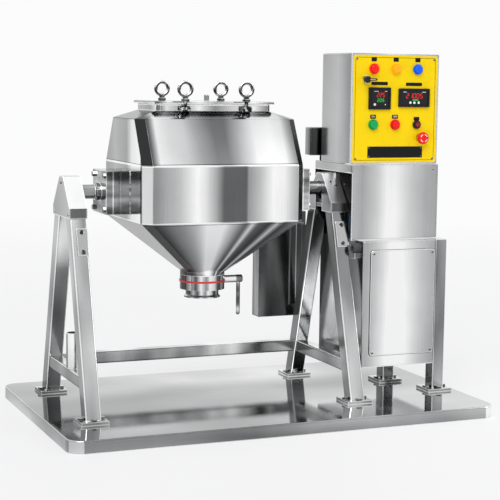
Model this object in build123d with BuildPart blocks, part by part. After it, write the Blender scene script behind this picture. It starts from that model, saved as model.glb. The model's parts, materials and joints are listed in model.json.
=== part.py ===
"""Octagonal blender: a tumbling vessel on two A-frame stands, with its drive, cabinet and panel.

Millimetres, +Z up, +X along the trunnion axis from the free stand to the driven one, -Y towards
the operator. The origin is the centre of the base tray's underside.
"""

import os
from math import atan2, cos

from build123d import *

os.makedirs("parts", exist_ok=True)

# Base tray, a folded sheet with its rim downwards
base_left_margin = 82.5
base_right_margin = 23.5
base_depth = 860.0
base_height = 40.0
base_corner = 50.0
base_sheet = 4.0
rib_width = 30.0
rib_sheet = 3.0

# Trunnion axis, which runs along X through the middle of the vessel
axis_y = 24.0
axis_z = 722.0

# Vessel, measured from the axis
vessel_half_width = 270.0
vessel_half_depth = 215.0
vessel_corner_cut = 27.5
band_half_height = 89.0
shoulder_height = 231.0
shoulder_half_depth = 138.0
neck_half_width = 192.0
neck_half_depth = 102.0
neck_corner_cut = 11.0
roof_rise = 25.0
neck_rise = 19.0
neck_lip_width = 12.0
neck_lip_sheet = 4.0
vessel_wall = 4.0
vessel_bend = 5.0
hopper_bottom_drop = 262.0
hopper_bottom_half = 66.0
hopper_bottom_cut = 20.0
hopper_inner_half = 52.0
hopper_inner_cut = 12.0
outlet_bore_radius = 50.0
outlet_collar_radius = 73.0
outlet_collar_top_drop = 236.0
outlet_collar_bottom_drop = 275.0

# Lid, gasket and swing bolts
gasket_thickness = 3.0
lid_half_width = 203.0
lid_half_depth = 113.0
lid_corner_radius = 12.0
lid_thickness = 8.0
lid_edge_round = 2.5
lid_vent_x = 10.0
lid_vent_radius = 8.5
lid_vent_height = 20.0
lid_vent_edge = 3.0
swing_bolt_spacing = 206.0
swing_bolt_from_axis = 112.0
swing_pivot_drop = 13.0
swing_bolt_radius = 6.0
swing_bolt_clearance = 1.0
bolt_edge = 1.0
swing_eye_radius = 9.5
lug_radius = 10.0
swing_eye_width = 12.0
swing_bolt_stand_out = 31.0
pivot_pin_radius = 4.0
pivot_pin_end = 2.0
lug_thickness = 9.0
lug_gap = 0.4
nut_gap = 0.3
nut_collar_radius = 13.0
nut_collar_height = 8.0
nut_neck_radius = 9.0
nut_bore_end = 1.0
ring_rise = 50.0
ring_radius = 21.0
ring_bar_radius = 6.0
running_gap = 0.05

# Trunnions, bolted through square flanges to the hub blocks welded on the vessel's ends
hub_half_depth = 72.0
hub_half_height = 68.0
hub_block_length = 55.0
hub_pad = 30.0
hub_groove = 2.0
trunnion_flange = 23.0
trunnion_radius = 22.5
trunnion_collar_radius = 27.0
trunnion_collar_length = 18.0
trunnion_collar_edge = 3.0
journal_radius = 20.0
flange_bolt_inset = 15.0
flange_bolt_head = 7.0
flange_bolt_radius = 5.0

# A-frame stands, the same distance each side of the vessel
stand_from_vessel = 444.0
tube_size = 50.0
tube_sheet = 3.0
tube_corner = 5.0
leg_foot_spread = 265.0
leg_top_spread = 90.0
foot_plate_size = 88.0
foot_plate_thickness = 10.0
anchor_from_centre = 35.0
anchor_radius = 5.0
anchor_head = 6.0
anchor_clearance = 0.5
hexagon_share = 1.6
seat_thickness = 12.0
seat_half_depth = 84.0
bearing_centre_height = 50.0
bearing_outer_radius = 40.0
bearing_width = 34.0
bearing_edge = 1.5
housing_dome_radius = 44.0
housing_width = 40.0
housing_half_length = 74.0
housing_base_height = 16.0
cross_tube_size = 40.0
cross_tube_bottom = 132.0

# Sheet covers over the two bearings
cover_width = 57.0
cover_sheet = 2.0
cover_top_half = 20.0
cover_top_height = 51.0
cover_lip_half = 97.0
cover_lip_top_drop = 45.0
cover_lip_bottom_drop = 76.0
cover_slot_gap = 2.0
sheet_bend = 4.0
guard_tab_lap = 1.0

# Guard-rail socket on the free stand's cross tube
socket_radius = 24.0
socket_bore_radius = 21.0
socket_height = 112.0
socket_from_axis = -43.0

# Drive: coupling, worm gearbox and hanging motor, measured from the vessel
coupling_start = 488.0
coupling_length = 66.0
coupling_radius = 38.0
coupling_hub_length = 27.0
coupling_edge = 2.0
coupling_waist_depth = 4.0
output_shaft_depth = 40.0
coupling_guard_start = 482.0
coupling_guard_width = 78.0
coupling_guard_top = 47.0
guard_tab_width = 50.0
gearbox_start = 580.0
gearbox_width = 110.0
gearbox_radius = 76.0
gearbox_foot_drop = 88.0
worm_offset = 63.0
worm_housing_radius = 38.0
worm_housing_half = 95.0
housing_worm_clearance = 20.0
pedestal_from_axis = 42.0
pedestal_depth = 50.0
pedestal_foot = 16.0
motor_flange_radius = 70.0
motor_flange_thickness = 12.0
motor_radius = 60.0
motor_fin_depth = 8.0
motor_fin_thickness = 3.0
motor_fin_count = 20
motor_length = 190.0
fan_cowl_radius = 70.0
fan_cowl_length = 52.0
fan_cowl_edge = 8.0
motor_clearance = 5.0

# Drive housing and lower cabinet, of folded sheet
housing_left = 470.0
housing_right = 793.0
housing_front = 138.0
housing_back = 150.0
housing_sheet = 2.5
housing_top = 84.0
housing_band = 29.0
housing_rim = 10.0
cabinet_left = 495.0
cabinet_ledge = 16.0
cabinet_front = 182.0
cabinet_top_drop = 166.0
cabinet_bottom_drop = 586.0
post_width = 44.0
post_depth = 50.0
rear_post_x = 700.0
rear_post_y = 34.0
access_width = 240.0
access_height = 352.0
access_thickness = 4.0
access_edge = 1.0
access_corner = 12.0
access_overlap = 14.0
access_from_left = 27.0
access_from_top = 30.0
spacer_size = 25.0
spacer_from_axis = 108.0
spacer_from_top = 49.0
gland_radius = 17.0
gland_bore_radius = 8.0
gland_length = 25.0
gland_edge = 3.0
gland_from_axis = 150.0
gland_from_top = 24.0

# Speed drive box behind the driven stand, and the junction box by the panel
drive_box_left = 300.0
drive_box_width = 180.0
drive_box_front = 240.0
drive_box_depth = 52.0
drive_box_top_drop = 100.0
drive_box_height = 371.0
bracket_margin = 40.0
bracket_sheet = 5.0
junction_width = 60.0
junction_depth = 46.0
junction_height = 95.0
junction_stem = 19.0
junction_stem_radius = 6.0
junction_stem_inset = 4.0
junction_back_gap = 5.0
junction_overhang = 8.0
box_corner = 4.0
junction_edge = 2.0
drive_box_edge = 1.5

# Operator panel, with its controls measured down from its top edge
panel_left = 461.0
panel_width = 324.0
panel_height = 364.0
panel_depth = 221.0
panel_sheet = 2.0
panel_border = 6.0
panel_ledge = 14.0
plate_thickness = 3.0
plate_corner = 8.0
plate_gap = 0.5
control_pitch = 81.0
lamp_drop = 51.0
button_drop = 233.0
bezel_radius = 17.0
bezel_thickness = 5.0
cap_radius = 14.0
cap_gap = 0.3
cap_height = 12.0
cap_edge = 1.5
lamp_dome = 4.0
stem_radius = 9.0
small_stem_radius = 5.0
stem_clearance = 0.5
stem_length = 15.0
button_travel = 4.0
small_bezel_radius = 14.0
small_cap_radius = 7.5
stop_x = 97.0
stop_drop = 277.0
stop_collar_radius = 16.0
stop_collar_length = 9.0
stop_head_radius = 20.0
stop_head_height = 11.0
stop_head_edge = 6.0
stop_travel = 6.0
selector_x = -111.0
selector_drop = 86.0
selector_base_radius = 13.0
selector_base_length = 9.0
selector_lever_length = 30.0
selector_knob_radius = 11.0
selector_bar = 8.0
selector_depth = 11.0
meter_depth = 8.0
meter_rim = 7.0
meter_sink = 3.0
meter_corner = 3.0
meter_edge = 1.5
meter_body_inset = 6.0
speed_meter_x = -59.5
speed_meter_drop = 147.5
speed_meter_width = 80.0
speed_meter_height = 72.0
timer_x = 68.5
timer_drop = 144.5
timer_width = 115.0
timer_height = 61.0
block_size = 26.0
block_depth = 40.0

# Discharge butterfly valve
valve_radius = 73.0
valve_split_drop = 295.0
valve_bottom_drop = 322.0
seat_ring_thickness = 6.0
seat_ring_radius = 75.0
valve_neck_radius = 54.0
ferrule_radius = 59.5
ferrule_rim = 4.0
ferrule_bottom_drop = 349.0
disc_thickness = 9.0
disc_gap = 0.4
disc_edge_width = 3.0
disc_edge_depth = 1.0
stem_end_gap = 0.5
valve_stem_radius = 7.0
stem_boss_radius = 13.0
stem_boss_length = 41.0
stem_blind_end = 62.0
lever_hub_length = 25.0
lever_rod_radius = 6.5
lever_length = 121.0
lever_hub_edge = 2.0
lever_end_flat = 0.5

# Places worked out from the sizes above
cabinet_right = housing_right + cabinet_ledge
post_from_vessel = cabinet_right - post_width / 2
left_reach = stand_from_vessel + foot_plate_size / 2 + base_left_margin
right_reach = post_from_vessel + foot_plate_size / 2 + base_right_margin
base_length = left_reach + right_reach
vessel_x = left_reach - base_length / 2
neck_base_height = shoulder_height + roof_rise
neck_top_height = neck_base_height + neck_rise
swing_pivot_height = neck_top_height - swing_pivot_drop
swing_bolt_top_height = neck_top_height + swing_bolt_stand_out
ring_centre_height = neck_top_height + ring_rise
tray_top = base_height
foot_top = tray_top + foot_plate_thickness
seat_top = axis_z - bearing_centre_height
leg_top = seat_top - seat_thickness
leg_slope = atan2(leg_foot_spread - leg_top_spread, leg_top - foot_top)
leg_depth = tube_size / cos(leg_slope)
leg_foot_centre = leg_foot_spread - leg_depth / 2
left_stand_x = vessel_x - stand_from_vessel
right_stand_x = vessel_x + stand_from_vessel
lid_bottom_height = neck_top_height + gasket_thickness
lid_top_height = lid_bottom_height + lid_thickness
cabinet_top = axis_z - cabinet_top_drop
cabinet_bottom = axis_z - cabinet_bottom_drop
cabinet_front_y = axis_y - cabinet_front
housing_front_y = axis_y - housing_front
housing_back_y = axis_y + housing_back
housing_top_z = axis_z + housing_top
housing_left_x = vessel_x + housing_left
housing_right_x = vessel_x + housing_right
cabinet_left_x = vessel_x + cabinet_left
cabinet_right_x = vessel_x + cabinet_right
post_x = vessel_x + post_from_vessel
post_y = cabinet_front_y + post_depth / 2
panel_x = vessel_x + panel_left + panel_width / 2
panel_z = housing_top_z
panel_top_z = panel_z + panel_height
panel_front_y = housing_front_y
plate_front_y = panel_front_y
gearbox_x = vessel_x + gearbox_start + gearbox_width / 2
motor_y = axis_y + worm_offset


def side_plane(x):
    """Sketch plane across the trunnion axis: local x is +Y, local y is +Z, normal +X."""
    return Plane(origin=(x, 0, 0), x_dir=(0, 1, 0), z_dir=(1, 0, 0))


def front_plane(y):
    """Sketch plane facing the operator: local x is +X, local y is +Z, normal -Y."""
    return Plane(origin=(0, y, 0), x_dir=(1, 0, 0), z_dir=(0, -1, 0))


def cut_corners(half_x, half_y, cut):
    """The eight corners of a rectangle with its corners cut at 45 degrees."""
    return [
        (half_x - cut, -half_y),
        (half_x, -half_y + cut),
        (half_x, half_y - cut),
        (half_x - cut, half_y),
        (-half_x + cut, half_y),
        (-half_x, half_y - cut),
        (-half_x, -half_y + cut),
        (-half_x + cut, -half_y),
    ]


def vessel_section(height, half_x, half_y, cut):
    """One eight-sided level of the vessel, as a face."""
    with BuildSketch(Plane((vessel_x, axis_y, axis_z + height))) as section:
        with BuildLine():
            Polyline(*cut_corners(half_x, half_y, cut), close=True)
        make_face()
    return section.sketch


def leg_outline(side, inset):
    """Side view of a sloping leg, cut level at both ends. side is -1 in front, 1 behind."""
    outer_foot = leg_foot_spread - inset / cos(leg_slope)
    outer_top = leg_top_spread - inset / cos(leg_slope)
    depth = leg_depth - 2 * inset / cos(leg_slope)
    return [
        (axis_y + side * outer_foot, foot_top),
        (axis_y + side * outer_top, leg_top),
        (axis_y + side * (outer_top - depth), leg_top),
        (axis_y + side * (outer_foot - depth), foot_top),
    ]


def leg_inner_face(z):
    """Distance from the axis to the inner face of a leg at height z."""
    share = (z - foot_top) / (leg_top - foot_top)
    return leg_foot_spread + share * (leg_top_spread - leg_foot_spread) - leg_depth


# Base tray with cross ribs under the feet
rib_places = [left_stand_x, right_stand_x, post_x, vessel_x]
with BuildPart() as base_plate:
    with BuildSketch(Plane.XY):
        RectangleRounded(base_length, base_depth, base_corner)
    extrude(amount=base_height)
    fillet(base_plate.faces().sort_by(Axis.Z)[-1].edges(), radius=base_sheet)
    with BuildSketch(Plane.XY):
        RectangleRounded(
            base_length - 2 * base_sheet, base_depth - 2 * base_sheet, base_corner - base_sheet
        )
    extrude(amount=base_height - base_sheet, mode=Mode.SUBTRACT)
    with BuildSketch(Plane.XY):
        with Locations(*[(x, 0) for x in rib_places]):
            Rectangle(rib_width, base_depth - 2 * base_sheet)
            Rectangle(rib_width - 2 * rib_sheet, base_depth - 2 * base_sheet, mode=Mode.SUBTRACT)
    extrude(amount=base_height - base_sheet)

foot_places = [
    (x, axis_y + side * leg_foot_centre) for x in (left_stand_x, right_stand_x) for side in (-1, 1)
]
post_places = [(post_x, post_y), (vessel_x + rear_post_x, axis_y + rear_post_y)]
anchor_places = []
for x, y in foot_places:
    outwards = 1 if y > axis_y else -1
    anchor_places += [(x - anchor_from_centre, y), (x + anchor_from_centre, y)]
    anchor_places.append((x, y + outwards * anchor_from_centre))
for x, y in post_places:
    anchor_places += [(x - anchor_from_centre, y), (x + anchor_from_centre, y)]
    anchor_places += [(x, y - anchor_from_centre), (x, y + anchor_from_centre)]
anchor_hole_radius = anchor_radius + anchor_clearance
anchor_length = foot_plate_thickness + base_sheet

with BuildPart() as foot_plates:
    with BuildSketch(Plane.XY.offset(tray_top)):
        with Locations(*foot_places, *post_places):
            Rectangle(foot_plate_size, foot_plate_size)
        with Locations(*anchor_places):
            Circle(anchor_hole_radius, mode=Mode.SUBTRACT)
    extrude(amount=foot_plate_thickness)
foot_plates.part.label = "foot_plates"
export_step(foot_plates.part, "parts/foot_plates.step")

with BuildPart(mode=Mode.PRIVATE) as anchor_holes:
    with BuildSketch(Plane.XY.offset(tray_top - base_sheet)):
        with Locations(*anchor_places):
            Circle(anchor_hole_radius)
    extrude(amount=base_sheet)
with base_plate:
    add(anchor_holes.part, mode=Mode.SUBTRACT)
base_plate.part.label = "base_plate"
export_step(base_plate.part, "parts/base_plate.step")

with BuildPart() as anchor_bolts:
    with BuildSketch(Plane.XY.offset(tray_top - base_sheet)):
        with Locations(*anchor_places):
            Circle(anchor_radius)
    extrude(amount=anchor_length)
    with BuildSketch(Plane.XY.offset(foot_top)):
        with Locations(*anchor_places):
            RegularPolygon(anchor_radius * hexagon_share, 6, major_radius=False)
    extrude(amount=anchor_head)
anchor_bolts.part.label = "anchor_bolts"
export_step(anchor_bolts.part, "parts/anchor_bolts.step")



def rises_steeply(edge):
    """Whether an edge runs up a leg, and not across its end."""
    return abs(edge.tangent_at(0.5).Z) > 0.5


# A-frame stands: two sloping legs each, with a cross tube low between them
for stand_name, stand_x in (("left", left_stand_x), ("right", right_stand_x)):
    for leg_name, side in (("front", -1), ("rear", 1)):
        with BuildPart() as leg:
            with BuildSketch(side_plane(stand_x)):
                with BuildLine():
                    Polyline(*leg_outline(side, 0), close=True)
                make_face()
            extrude(amount=tube_size / 2, both=True)
            fillet(leg.edges().filter_by(rises_steeply), radius=tube_corner)
            with BuildSketch(side_plane(stand_x)):
                with BuildLine():
                    Polyline(*leg_outline(side, tube_sheet), close=True)
                make_face()
            extrude(amount=tube_size / 2 - tube_sheet, both=True, mode=Mode.SUBTRACT)
        leg.part.label = f"{stand_name}_{leg_name}_leg"
        export_step(leg.part, f"parts/{stand_name}_{leg_name}_leg.step")

low = leg_inner_face(cross_tube_bottom)
high = leg_inner_face(cross_tube_bottom + cross_tube_size)
with BuildPart() as cross_tubes:
    for stand_x in (left_stand_x, right_stand_x):
        with BuildSketch(side_plane(stand_x)):
            with BuildLine():
                Polyline(
                    (axis_y - low, cross_tube_bottom),
                    (axis_y + low, cross_tube_bottom),
                    (axis_y + high, cross_tube_bottom + cross_tube_size),
                    (axis_y - high, cross_tube_bottom + cross_tube_size),
                    close=True,
                )
            make_face()
        extrude(amount=cross_tube_size / 2, both=True)
    fillet(cross_tubes.edges().filter_by(Axis.Y), radius=tube_corner)
    with BuildSketch(Plane.XZ.offset(-axis_y)):
        inner = cross_tube_size - 2 * tube_sheet
        tube_middle = cross_tube_bottom + cross_tube_size / 2
        with Locations((left_stand_x, tube_middle), (right_stand_x, tube_middle)):
            Rectangle(inner, inner)
    extrude(amount=leg_foot_spread, both=True, mode=Mode.SUBTRACT)
cross_tubes.part.label = "cross_tubes"
export_step(cross_tubes.part, "parts/cross_tubes.step")

# Tie bar between the two rear legs
tie_length = right_stand_x - left_stand_x - tube_size
tie_y = axis_y + leg_inner_face(cross_tube_bottom + cross_tube_size / 2) + leg_depth / 2
with BuildPart() as tie_bar:
    with BuildSketch(side_plane(vessel_x)):
        with Locations((tie_y, cross_tube_bottom + cross_tube_size / 2)):
            RectangleRounded(cross_tube_size, cross_tube_size, tube_corner)
            inner = cross_tube_size - 2 * tube_sheet
            Rectangle(inner, inner, mode=Mode.SUBTRACT)
    extrude(amount=tie_length / 2, both=True)
tie_bar.part.label = "tie_bar"
export_step(tie_bar.part, "parts/tie_bar.step")

# Guard-rail socket standing on the free stand's cross tube
with BuildPart() as rail_socket:
    with BuildSketch(Plane.XY.offset(cross_tube_bottom + cross_tube_size)):
        with Locations((left_stand_x, axis_y + socket_from_axis)):
            Circle(socket_radius)
            Circle(socket_bore_radius, mode=Mode.SUBTRACT)
    extrude(amount=socket_height)
rail_socket.part.label = "rail_socket"
export_step(rail_socket.part, "parts/rail_socket.step")

# Bearing seats on the leg tops
with BuildPart() as bearing_seats:
    with BuildSketch(Plane.XY.offset(leg_top)):
        with Locations((left_stand_x, axis_y), (right_stand_x, axis_y)):
            Rectangle(cover_width - 2 * cover_sheet, 2 * seat_half_depth)
    extrude(amount=seat_thickness)
bearing_seats.part.label = "bearing_seats"
export_step(bearing_seats.part, "parts/bearing_seats.step")

# Pillow block housings and their bearings
with BuildPart() as bearing_housings:
    for stand_x in (left_stand_x, right_stand_x):
        with BuildSketch(side_plane(stand_x)):
            with Locations((axis_y, seat_top + housing_base_height / 2)):
                Rectangle(2 * housing_half_length, housing_base_height)
            with Locations((axis_y, axis_z)):
                Circle(housing_dome_radius)
            with Locations((axis_y, (seat_top + axis_z) / 2)):
                Rectangle(2 * housing_dome_radius, bearing_centre_height)
            with Locations((axis_y, axis_z)):
                Circle(bearing_outer_radius + running_gap, mode=Mode.SUBTRACT)
        extrude(amount=housing_width / 2, both=True)
bearing_housings.part.label = "bearing_housings"
export_step(bearing_housings.part, "parts/bearing_housings.step")

with BuildPart() as bearings:
    for stand_x in (left_stand_x, right_stand_x):
        with BuildSketch(side_plane(stand_x)):
            with Locations((axis_y, axis_z)):
                Circle(bearing_outer_radius)
                Circle(journal_radius + running_gap, mode=Mode.SUBTRACT)
        extrude(amount=bearing_width / 2, both=True)
    chamfer(bearings.edges().filter_by(GeomType.CIRCLE), length=bearing_edge)
bearings.part.label = "bearings"
export_step(bearings.part, "parts/bearings.step")


def cover_outline(top_height, inset):
    """Side view of a bearing cover: flat top, sloping sides and a short upright lip."""
    top_half = cover_top_half - inset / 2
    lip_half = cover_lip_half - inset
    lip_top = axis_z - cover_lip_top_drop - inset / 2
    return [
        (axis_y - top_half, axis_z + top_height - inset),
        (axis_y + top_half, axis_z + top_height - inset),
        (axis_y + lip_half, lip_top),
        (axis_y + lip_half, axis_z - cover_lip_bottom_drop),
        (axis_y - lip_half, axis_z - cover_lip_bottom_drop),
        (axis_y - lip_half, lip_top),
    ]


def shaft_slot(radius, reach):
    """Upright slot that lets a cover drop over the shaft, with a round top at the axis."""
    with BuildSketch(Plane.XY) as slot:
        with Locations((axis_y, axis_z)):
            Circle(radius)
        with Locations((axis_y, axis_z - reach / 2)):
            Rectangle(2 * radius, reach)
    return slot.sketch


# Sheet covers, open below and slotted where the shaft passes
right_cover_start = right_stand_x - cover_width / 2
guard_start = vessel_x + coupling_guard_start
sheet_covers = [
    ("left_stand_cover", left_stand_x - cover_width / 2, cover_width, cover_top_height, False),
    ("right_stand_cover", right_cover_start, cover_width, cover_top_height, True),
    ("coupling_guard", guard_start, coupling_guard_width, coupling_guard_top, True),
]
for cover_name, start, width, top_height, slot_both_sides in sheet_covers:
    slot = shaft_slot(trunnion_radius + cover_slot_gap, cover_lip_bottom_drop)
    with BuildPart() as cover:
        with BuildSketch(side_plane(start)):
            with BuildLine():
                Polyline(*cover_outline(top_height, 0), close=True)
            make_face()
        extrude(amount=width)
        bends = cover.edges().filter_by(Axis.X).sort_by(Axis.Z)[2:]
        fillet(bends, radius=sheet_bend)
        with BuildSketch(side_plane(start + cover_sheet)):
            with BuildLine():
                Polyline(*cover_outline(top_height, cover_sheet), close=True)
            make_face()
        extrude(amount=width - 2 * cover_sheet, mode=Mode.SUBTRACT)
        with BuildSketch(side_plane(start + width)):
            with Locations((axis_y, axis_z - cover_lip_bottom_drop)):
                Rectangle(2 * cover_lip_half - 2 * cover_sheet, 2 * cover_sheet)
        extrude(amount=cover_sheet - width, mode=Mode.SUBTRACT)
        with BuildSketch(side_plane(start + width)):
            add(slot)
        extrude(amount=-width if slot_both_sides else -width / 2, mode=Mode.SUBTRACT)
        if cover_name == "coupling_guard":
            with BuildSketch(Plane.XY.offset(cabinet_top)):
                tab_y = cover_lip_half - cover_sheet / 2
                tab_x = start + width - guard_tab_width / 2
                with Locations((tab_x, axis_y - tab_y), (tab_x, axis_y + tab_y)):
                    Rectangle(guard_tab_width, cover_sheet)
            extrude(amount=cabinet_top_drop - cover_lip_bottom_drop + guard_tab_lap)
    cover.part.label = cover_name
    export_step(cover.part, f"parts/{cover_name}.step")

# Vessel: flat-sided levels lofted into one another, from the hopper up to the neck
corner_thinning = vessel_wall * (2 - 2**0.5)
inner_width = vessel_half_width - vessel_wall
inner_depth = vessel_half_depth - vessel_wall
inner_cut = vessel_corner_cut - corner_thinning
outer_levels = [
    (-hopper_bottom_drop, hopper_bottom_half, hopper_bottom_half, hopper_bottom_cut),
    (-band_half_height, vessel_half_width, vessel_half_depth, vessel_corner_cut),
    (band_half_height, vessel_half_width, vessel_half_depth, vessel_corner_cut),
    (shoulder_height, vessel_half_width, shoulder_half_depth, vessel_corner_cut),
    (neck_base_height, neck_half_width, neck_half_depth, neck_corner_cut),
    (neck_top_height, neck_half_width, neck_half_depth, neck_corner_cut),
]
inner_levels = [
    (-hopper_bottom_drop, hopper_inner_half, hopper_inner_half, hopper_inner_cut),
    (-band_half_height, inner_width, inner_depth, inner_cut),
    (band_half_height, inner_width, inner_depth, inner_cut),
    (shoulder_height - vessel_wall, inner_width, shoulder_half_depth - vessel_wall, inner_cut),
    (
        neck_base_height - vessel_wall,
        neck_half_width - vessel_wall,
        neck_half_depth - vessel_wall,
        neck_corner_cut - corner_thinning,
    ),
    (
        neck_top_height - neck_lip_sheet,
        neck_half_width - vessel_wall,
        neck_half_depth - vessel_wall,
        neck_corner_cut - corner_thinning,
    ),
]
lip_cut = neck_corner_cut - neck_lip_width * (2 - 2**0.5)


def is_vessel_bend(edge):
    """Whether an edge is a fold of the vessel's sheet, between the outlet and the neck."""
    lowest = axis_z - hopper_bottom_drop
    highest = axis_z + neck_base_height
    ends = [vertex.Z for vertex in edge.vertices()]
    return min(ends) >= lowest and max(ends) < highest - 1 and max(ends) > lowest + 1


neck_mouth = vessel_section(
    neck_top_height, neck_half_width - neck_lip_width, neck_half_depth - neck_lip_width, lip_cut
)
with BuildPart() as vessel_shell:
    loft([vessel_section(*level) for level in outer_levels], ruled=True)
    fillet(vessel_shell.edges().filter_by(is_vessel_bend), radius=vessel_bend)
    with BuildSketch(Plane((vessel_x, axis_y, axis_z - outlet_collar_bottom_drop))):
        Circle(outlet_collar_radius)
    extrude(amount=outlet_collar_bottom_drop - outlet_collar_top_drop)
    loft([vessel_section(*level) for level in inner_levels], ruled=True, mode=Mode.SUBTRACT)
    extrude(neck_mouth, amount=-2 * neck_lip_sheet, mode=Mode.SUBTRACT)
    with BuildSketch(Plane((vessel_x, axis_y, axis_z - outlet_collar_bottom_drop))):
        Circle(outlet_bore_radius)
    extrude(amount=outlet_collar_bottom_drop - outlet_collar_top_drop, mode=Mode.SUBTRACT)
vessel_shell.part.label = "vessel_shell"
export_step(vessel_shell.part, "parts/vessel_shell.step")

# Lid with four bolt notches and a small vent, on a flat gasket
bolt_places = [
    (vessel_x + i * swing_bolt_spacing / 2, j * swing_bolt_from_axis)
    for i, j in ((-1, -1), (1, -1), (-1, 1), (1, 1))
]
notch_radius = swing_bolt_radius + swing_bolt_clearance
with BuildPart() as lid_gasket:
    extrude(vessel_section(*outer_levels[-1]), amount=gasket_thickness)
    extrude(neck_mouth, amount=gasket_thickness, mode=Mode.SUBTRACT)
lid_gasket.part.label = "lid_gasket"
export_step(lid_gasket.part, "parts/lid_gasket.step")

with BuildPart() as lid:
    with BuildSketch(Plane((vessel_x, axis_y, axis_z + lid_bottom_height))):
        RectangleRounded(2 * lid_half_width, 2 * lid_half_depth, lid_corner_radius)
    extrude(amount=lid_thickness)
    chamfer(lid.faces().sort_by(Axis.Z)[-1].edges(), length=lid_edge_round)
    with BuildSketch(Plane.XY.offset(axis_z + lid_bottom_height)):
        with Locations(*[(x, axis_y + y) for x, y in bolt_places]):
            Circle(notch_radius)
            Rectangle(2 * notch_radius, 2 * (lid_half_depth - swing_bolt_from_axis) + 2)
    extrude(amount=lid_thickness, mode=Mode.SUBTRACT)
    with BuildSketch(Plane((vessel_x + lid_vent_x, axis_y, axis_z + lid_top_height))):
        Circle(lid_vent_radius)
    extrude(amount=lid_vent_height)
    fillet(lid.faces().sort_by(Axis.Z)[-1].edges(), radius=lid_vent_edge)
lid.part.label = "lid"
export_step(lid.part, "parts/lid.step")

# Ears and pins that the swing bolts turn on, welded to the neck
lug_start = swing_eye_width / 2 + lug_gap
with BuildPart() as bolt_lugs:
    for x, y in bolt_places:
        side = 1 if y > 0 else -1
        pivot = (axis_y + y, axis_z + swing_pivot_height)
        with BuildSketch(side_plane(x)):
            with BuildLine():
                Polyline(
                    (axis_y + side * neck_half_depth, axis_z + neck_base_height),
                    (axis_y + side * neck_half_depth, pivot[1] + lug_radius),
                    (pivot[0], pivot[1] + lug_radius),
                    (pivot[0], pivot[1] - lug_radius),
                    close=True,
                )
            make_face()
            with Locations(pivot):
                Circle(lug_radius)
        extrude(amount=lug_start + lug_thickness, both=True)
        with BuildSketch(side_plane(x)):
            with Locations(pivot):
                Circle(lug_radius * 2)
        extrude(amount=lug_start, both=True, mode=Mode.SUBTRACT)
        with BuildSketch(side_plane(x)):
            with Locations(pivot):
                Circle(pivot_pin_radius)
        extrude(amount=lug_start + lug_thickness + pivot_pin_end, both=True)
bolt_lugs.part.label = "bolt_lugs"
export_step(bolt_lugs.part, "parts/bolt_lugs.step")

# Swing bolts and the ring nuts on them
for number, (x, y) in enumerate(bolt_places, start=1):
    with BuildPart() as swing_bolt:
        with BuildSketch(Plane((x, axis_y + y, axis_z + swing_pivot_height))):
            Circle(swing_bolt_radius)
        extrude(amount=swing_bolt_top_height - swing_pivot_height)
        chamfer(swing_bolt.faces().sort_by(Axis.Z)[-1].edges(), length=bolt_edge)
        with BuildSketch(side_plane(x)):
            with Locations((axis_y + y, axis_z + swing_pivot_height)):
                Circle(swing_eye_radius)
        extrude(amount=swing_eye_width / 2, both=True)
        with BuildSketch(side_plane(x)):
            with Locations((axis_y + y, axis_z + swing_pivot_height)):
                Circle(pivot_pin_radius + running_gap)
        extrude(amount=swing_eye_width, both=True, mode=Mode.SUBTRACT)
    swing_bolt.part.label = f"swing_bolt_{number}"
    export_step(swing_bolt.part, f"parts/swing_bolt_{number}.step")

    nut_bottom = axis_z + lid_top_height + nut_gap
    ring_z = axis_z + ring_centre_height
    with BuildPart() as ring_nut:
        with BuildSketch(Plane((x, axis_y + y, nut_bottom))):
            Circle(nut_collar_radius)
        extrude(amount=nut_collar_height)
        chamfer(ring_nut.edges().filter_by(GeomType.CIRCLE), length=bolt_edge)
        with BuildSketch(Plane((x, axis_y + y, nut_bottom + nut_collar_height))):
            Circle(nut_neck_radius)
        extrude(amount=ring_z - ring_radius - nut_bottom - nut_collar_height)
        with BuildSketch(Plane((x, axis_y + y, ring_z))):
            with Locations((ring_radius, 0)):
                Circle(ring_bar_radius)
        revolve(axis=Axis((x, axis_y + y, ring_z), (0, 1, 0)), revolution_arc=360)
        with BuildSketch(Plane((x, axis_y + y, nut_bottom))):
            Circle(swing_bolt_radius + running_gap)
        extrude(amount=swing_bolt_top_height - lid_top_height + nut_bore_end, mode=Mode.SUBTRACT)
    ring_nut.part.label = f"ring_nut_{number}"
    export_step(ring_nut.part, f"parts/ring_nut_{number}.step")

# Hub blocks on the vessel's ends, with a groove round each
with BuildPart() as hub_blocks:
    for side in (-1, 1):
        with BuildSketch(side_plane(vessel_x + side * vessel_half_width)):
            with Locations((axis_y, axis_z)):
                Rectangle(2 * hub_half_depth, 2 * hub_half_height)
        extrude(amount=side * hub_block_length)
        with BuildSketch(side_plane(vessel_x + side * (vessel_half_width + hub_pad))):
            with Locations((axis_y, axis_z)):
                Rectangle(2 * hub_half_depth, 2 * hub_half_height)
                Rectangle(
                    2 * (hub_half_depth - hub_groove),
                    2 * (hub_half_height - hub_groove),
                    mode=Mode.SUBTRACT,
                )
        extrude(amount=side * hub_groove, mode=Mode.SUBTRACT)
        with BuildSketch(side_plane(vessel_x + side * (vessel_half_width + hub_pad))):
            with Locations((axis_y, axis_z)):
                with GridLocations(
                    2 * (hub_half_depth - flange_bolt_inset),
                    2 * (hub_half_height - flange_bolt_inset),
                    2,
                    2,
                ):
                    Circle(flange_bolt_radius)
        extrude(amount=side * hub_block_length, mode=Mode.SUBTRACT)
hub_blocks.part.label = "hub_blocks"
export_step(hub_blocks.part, "parts/hub_blocks.step")

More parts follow.
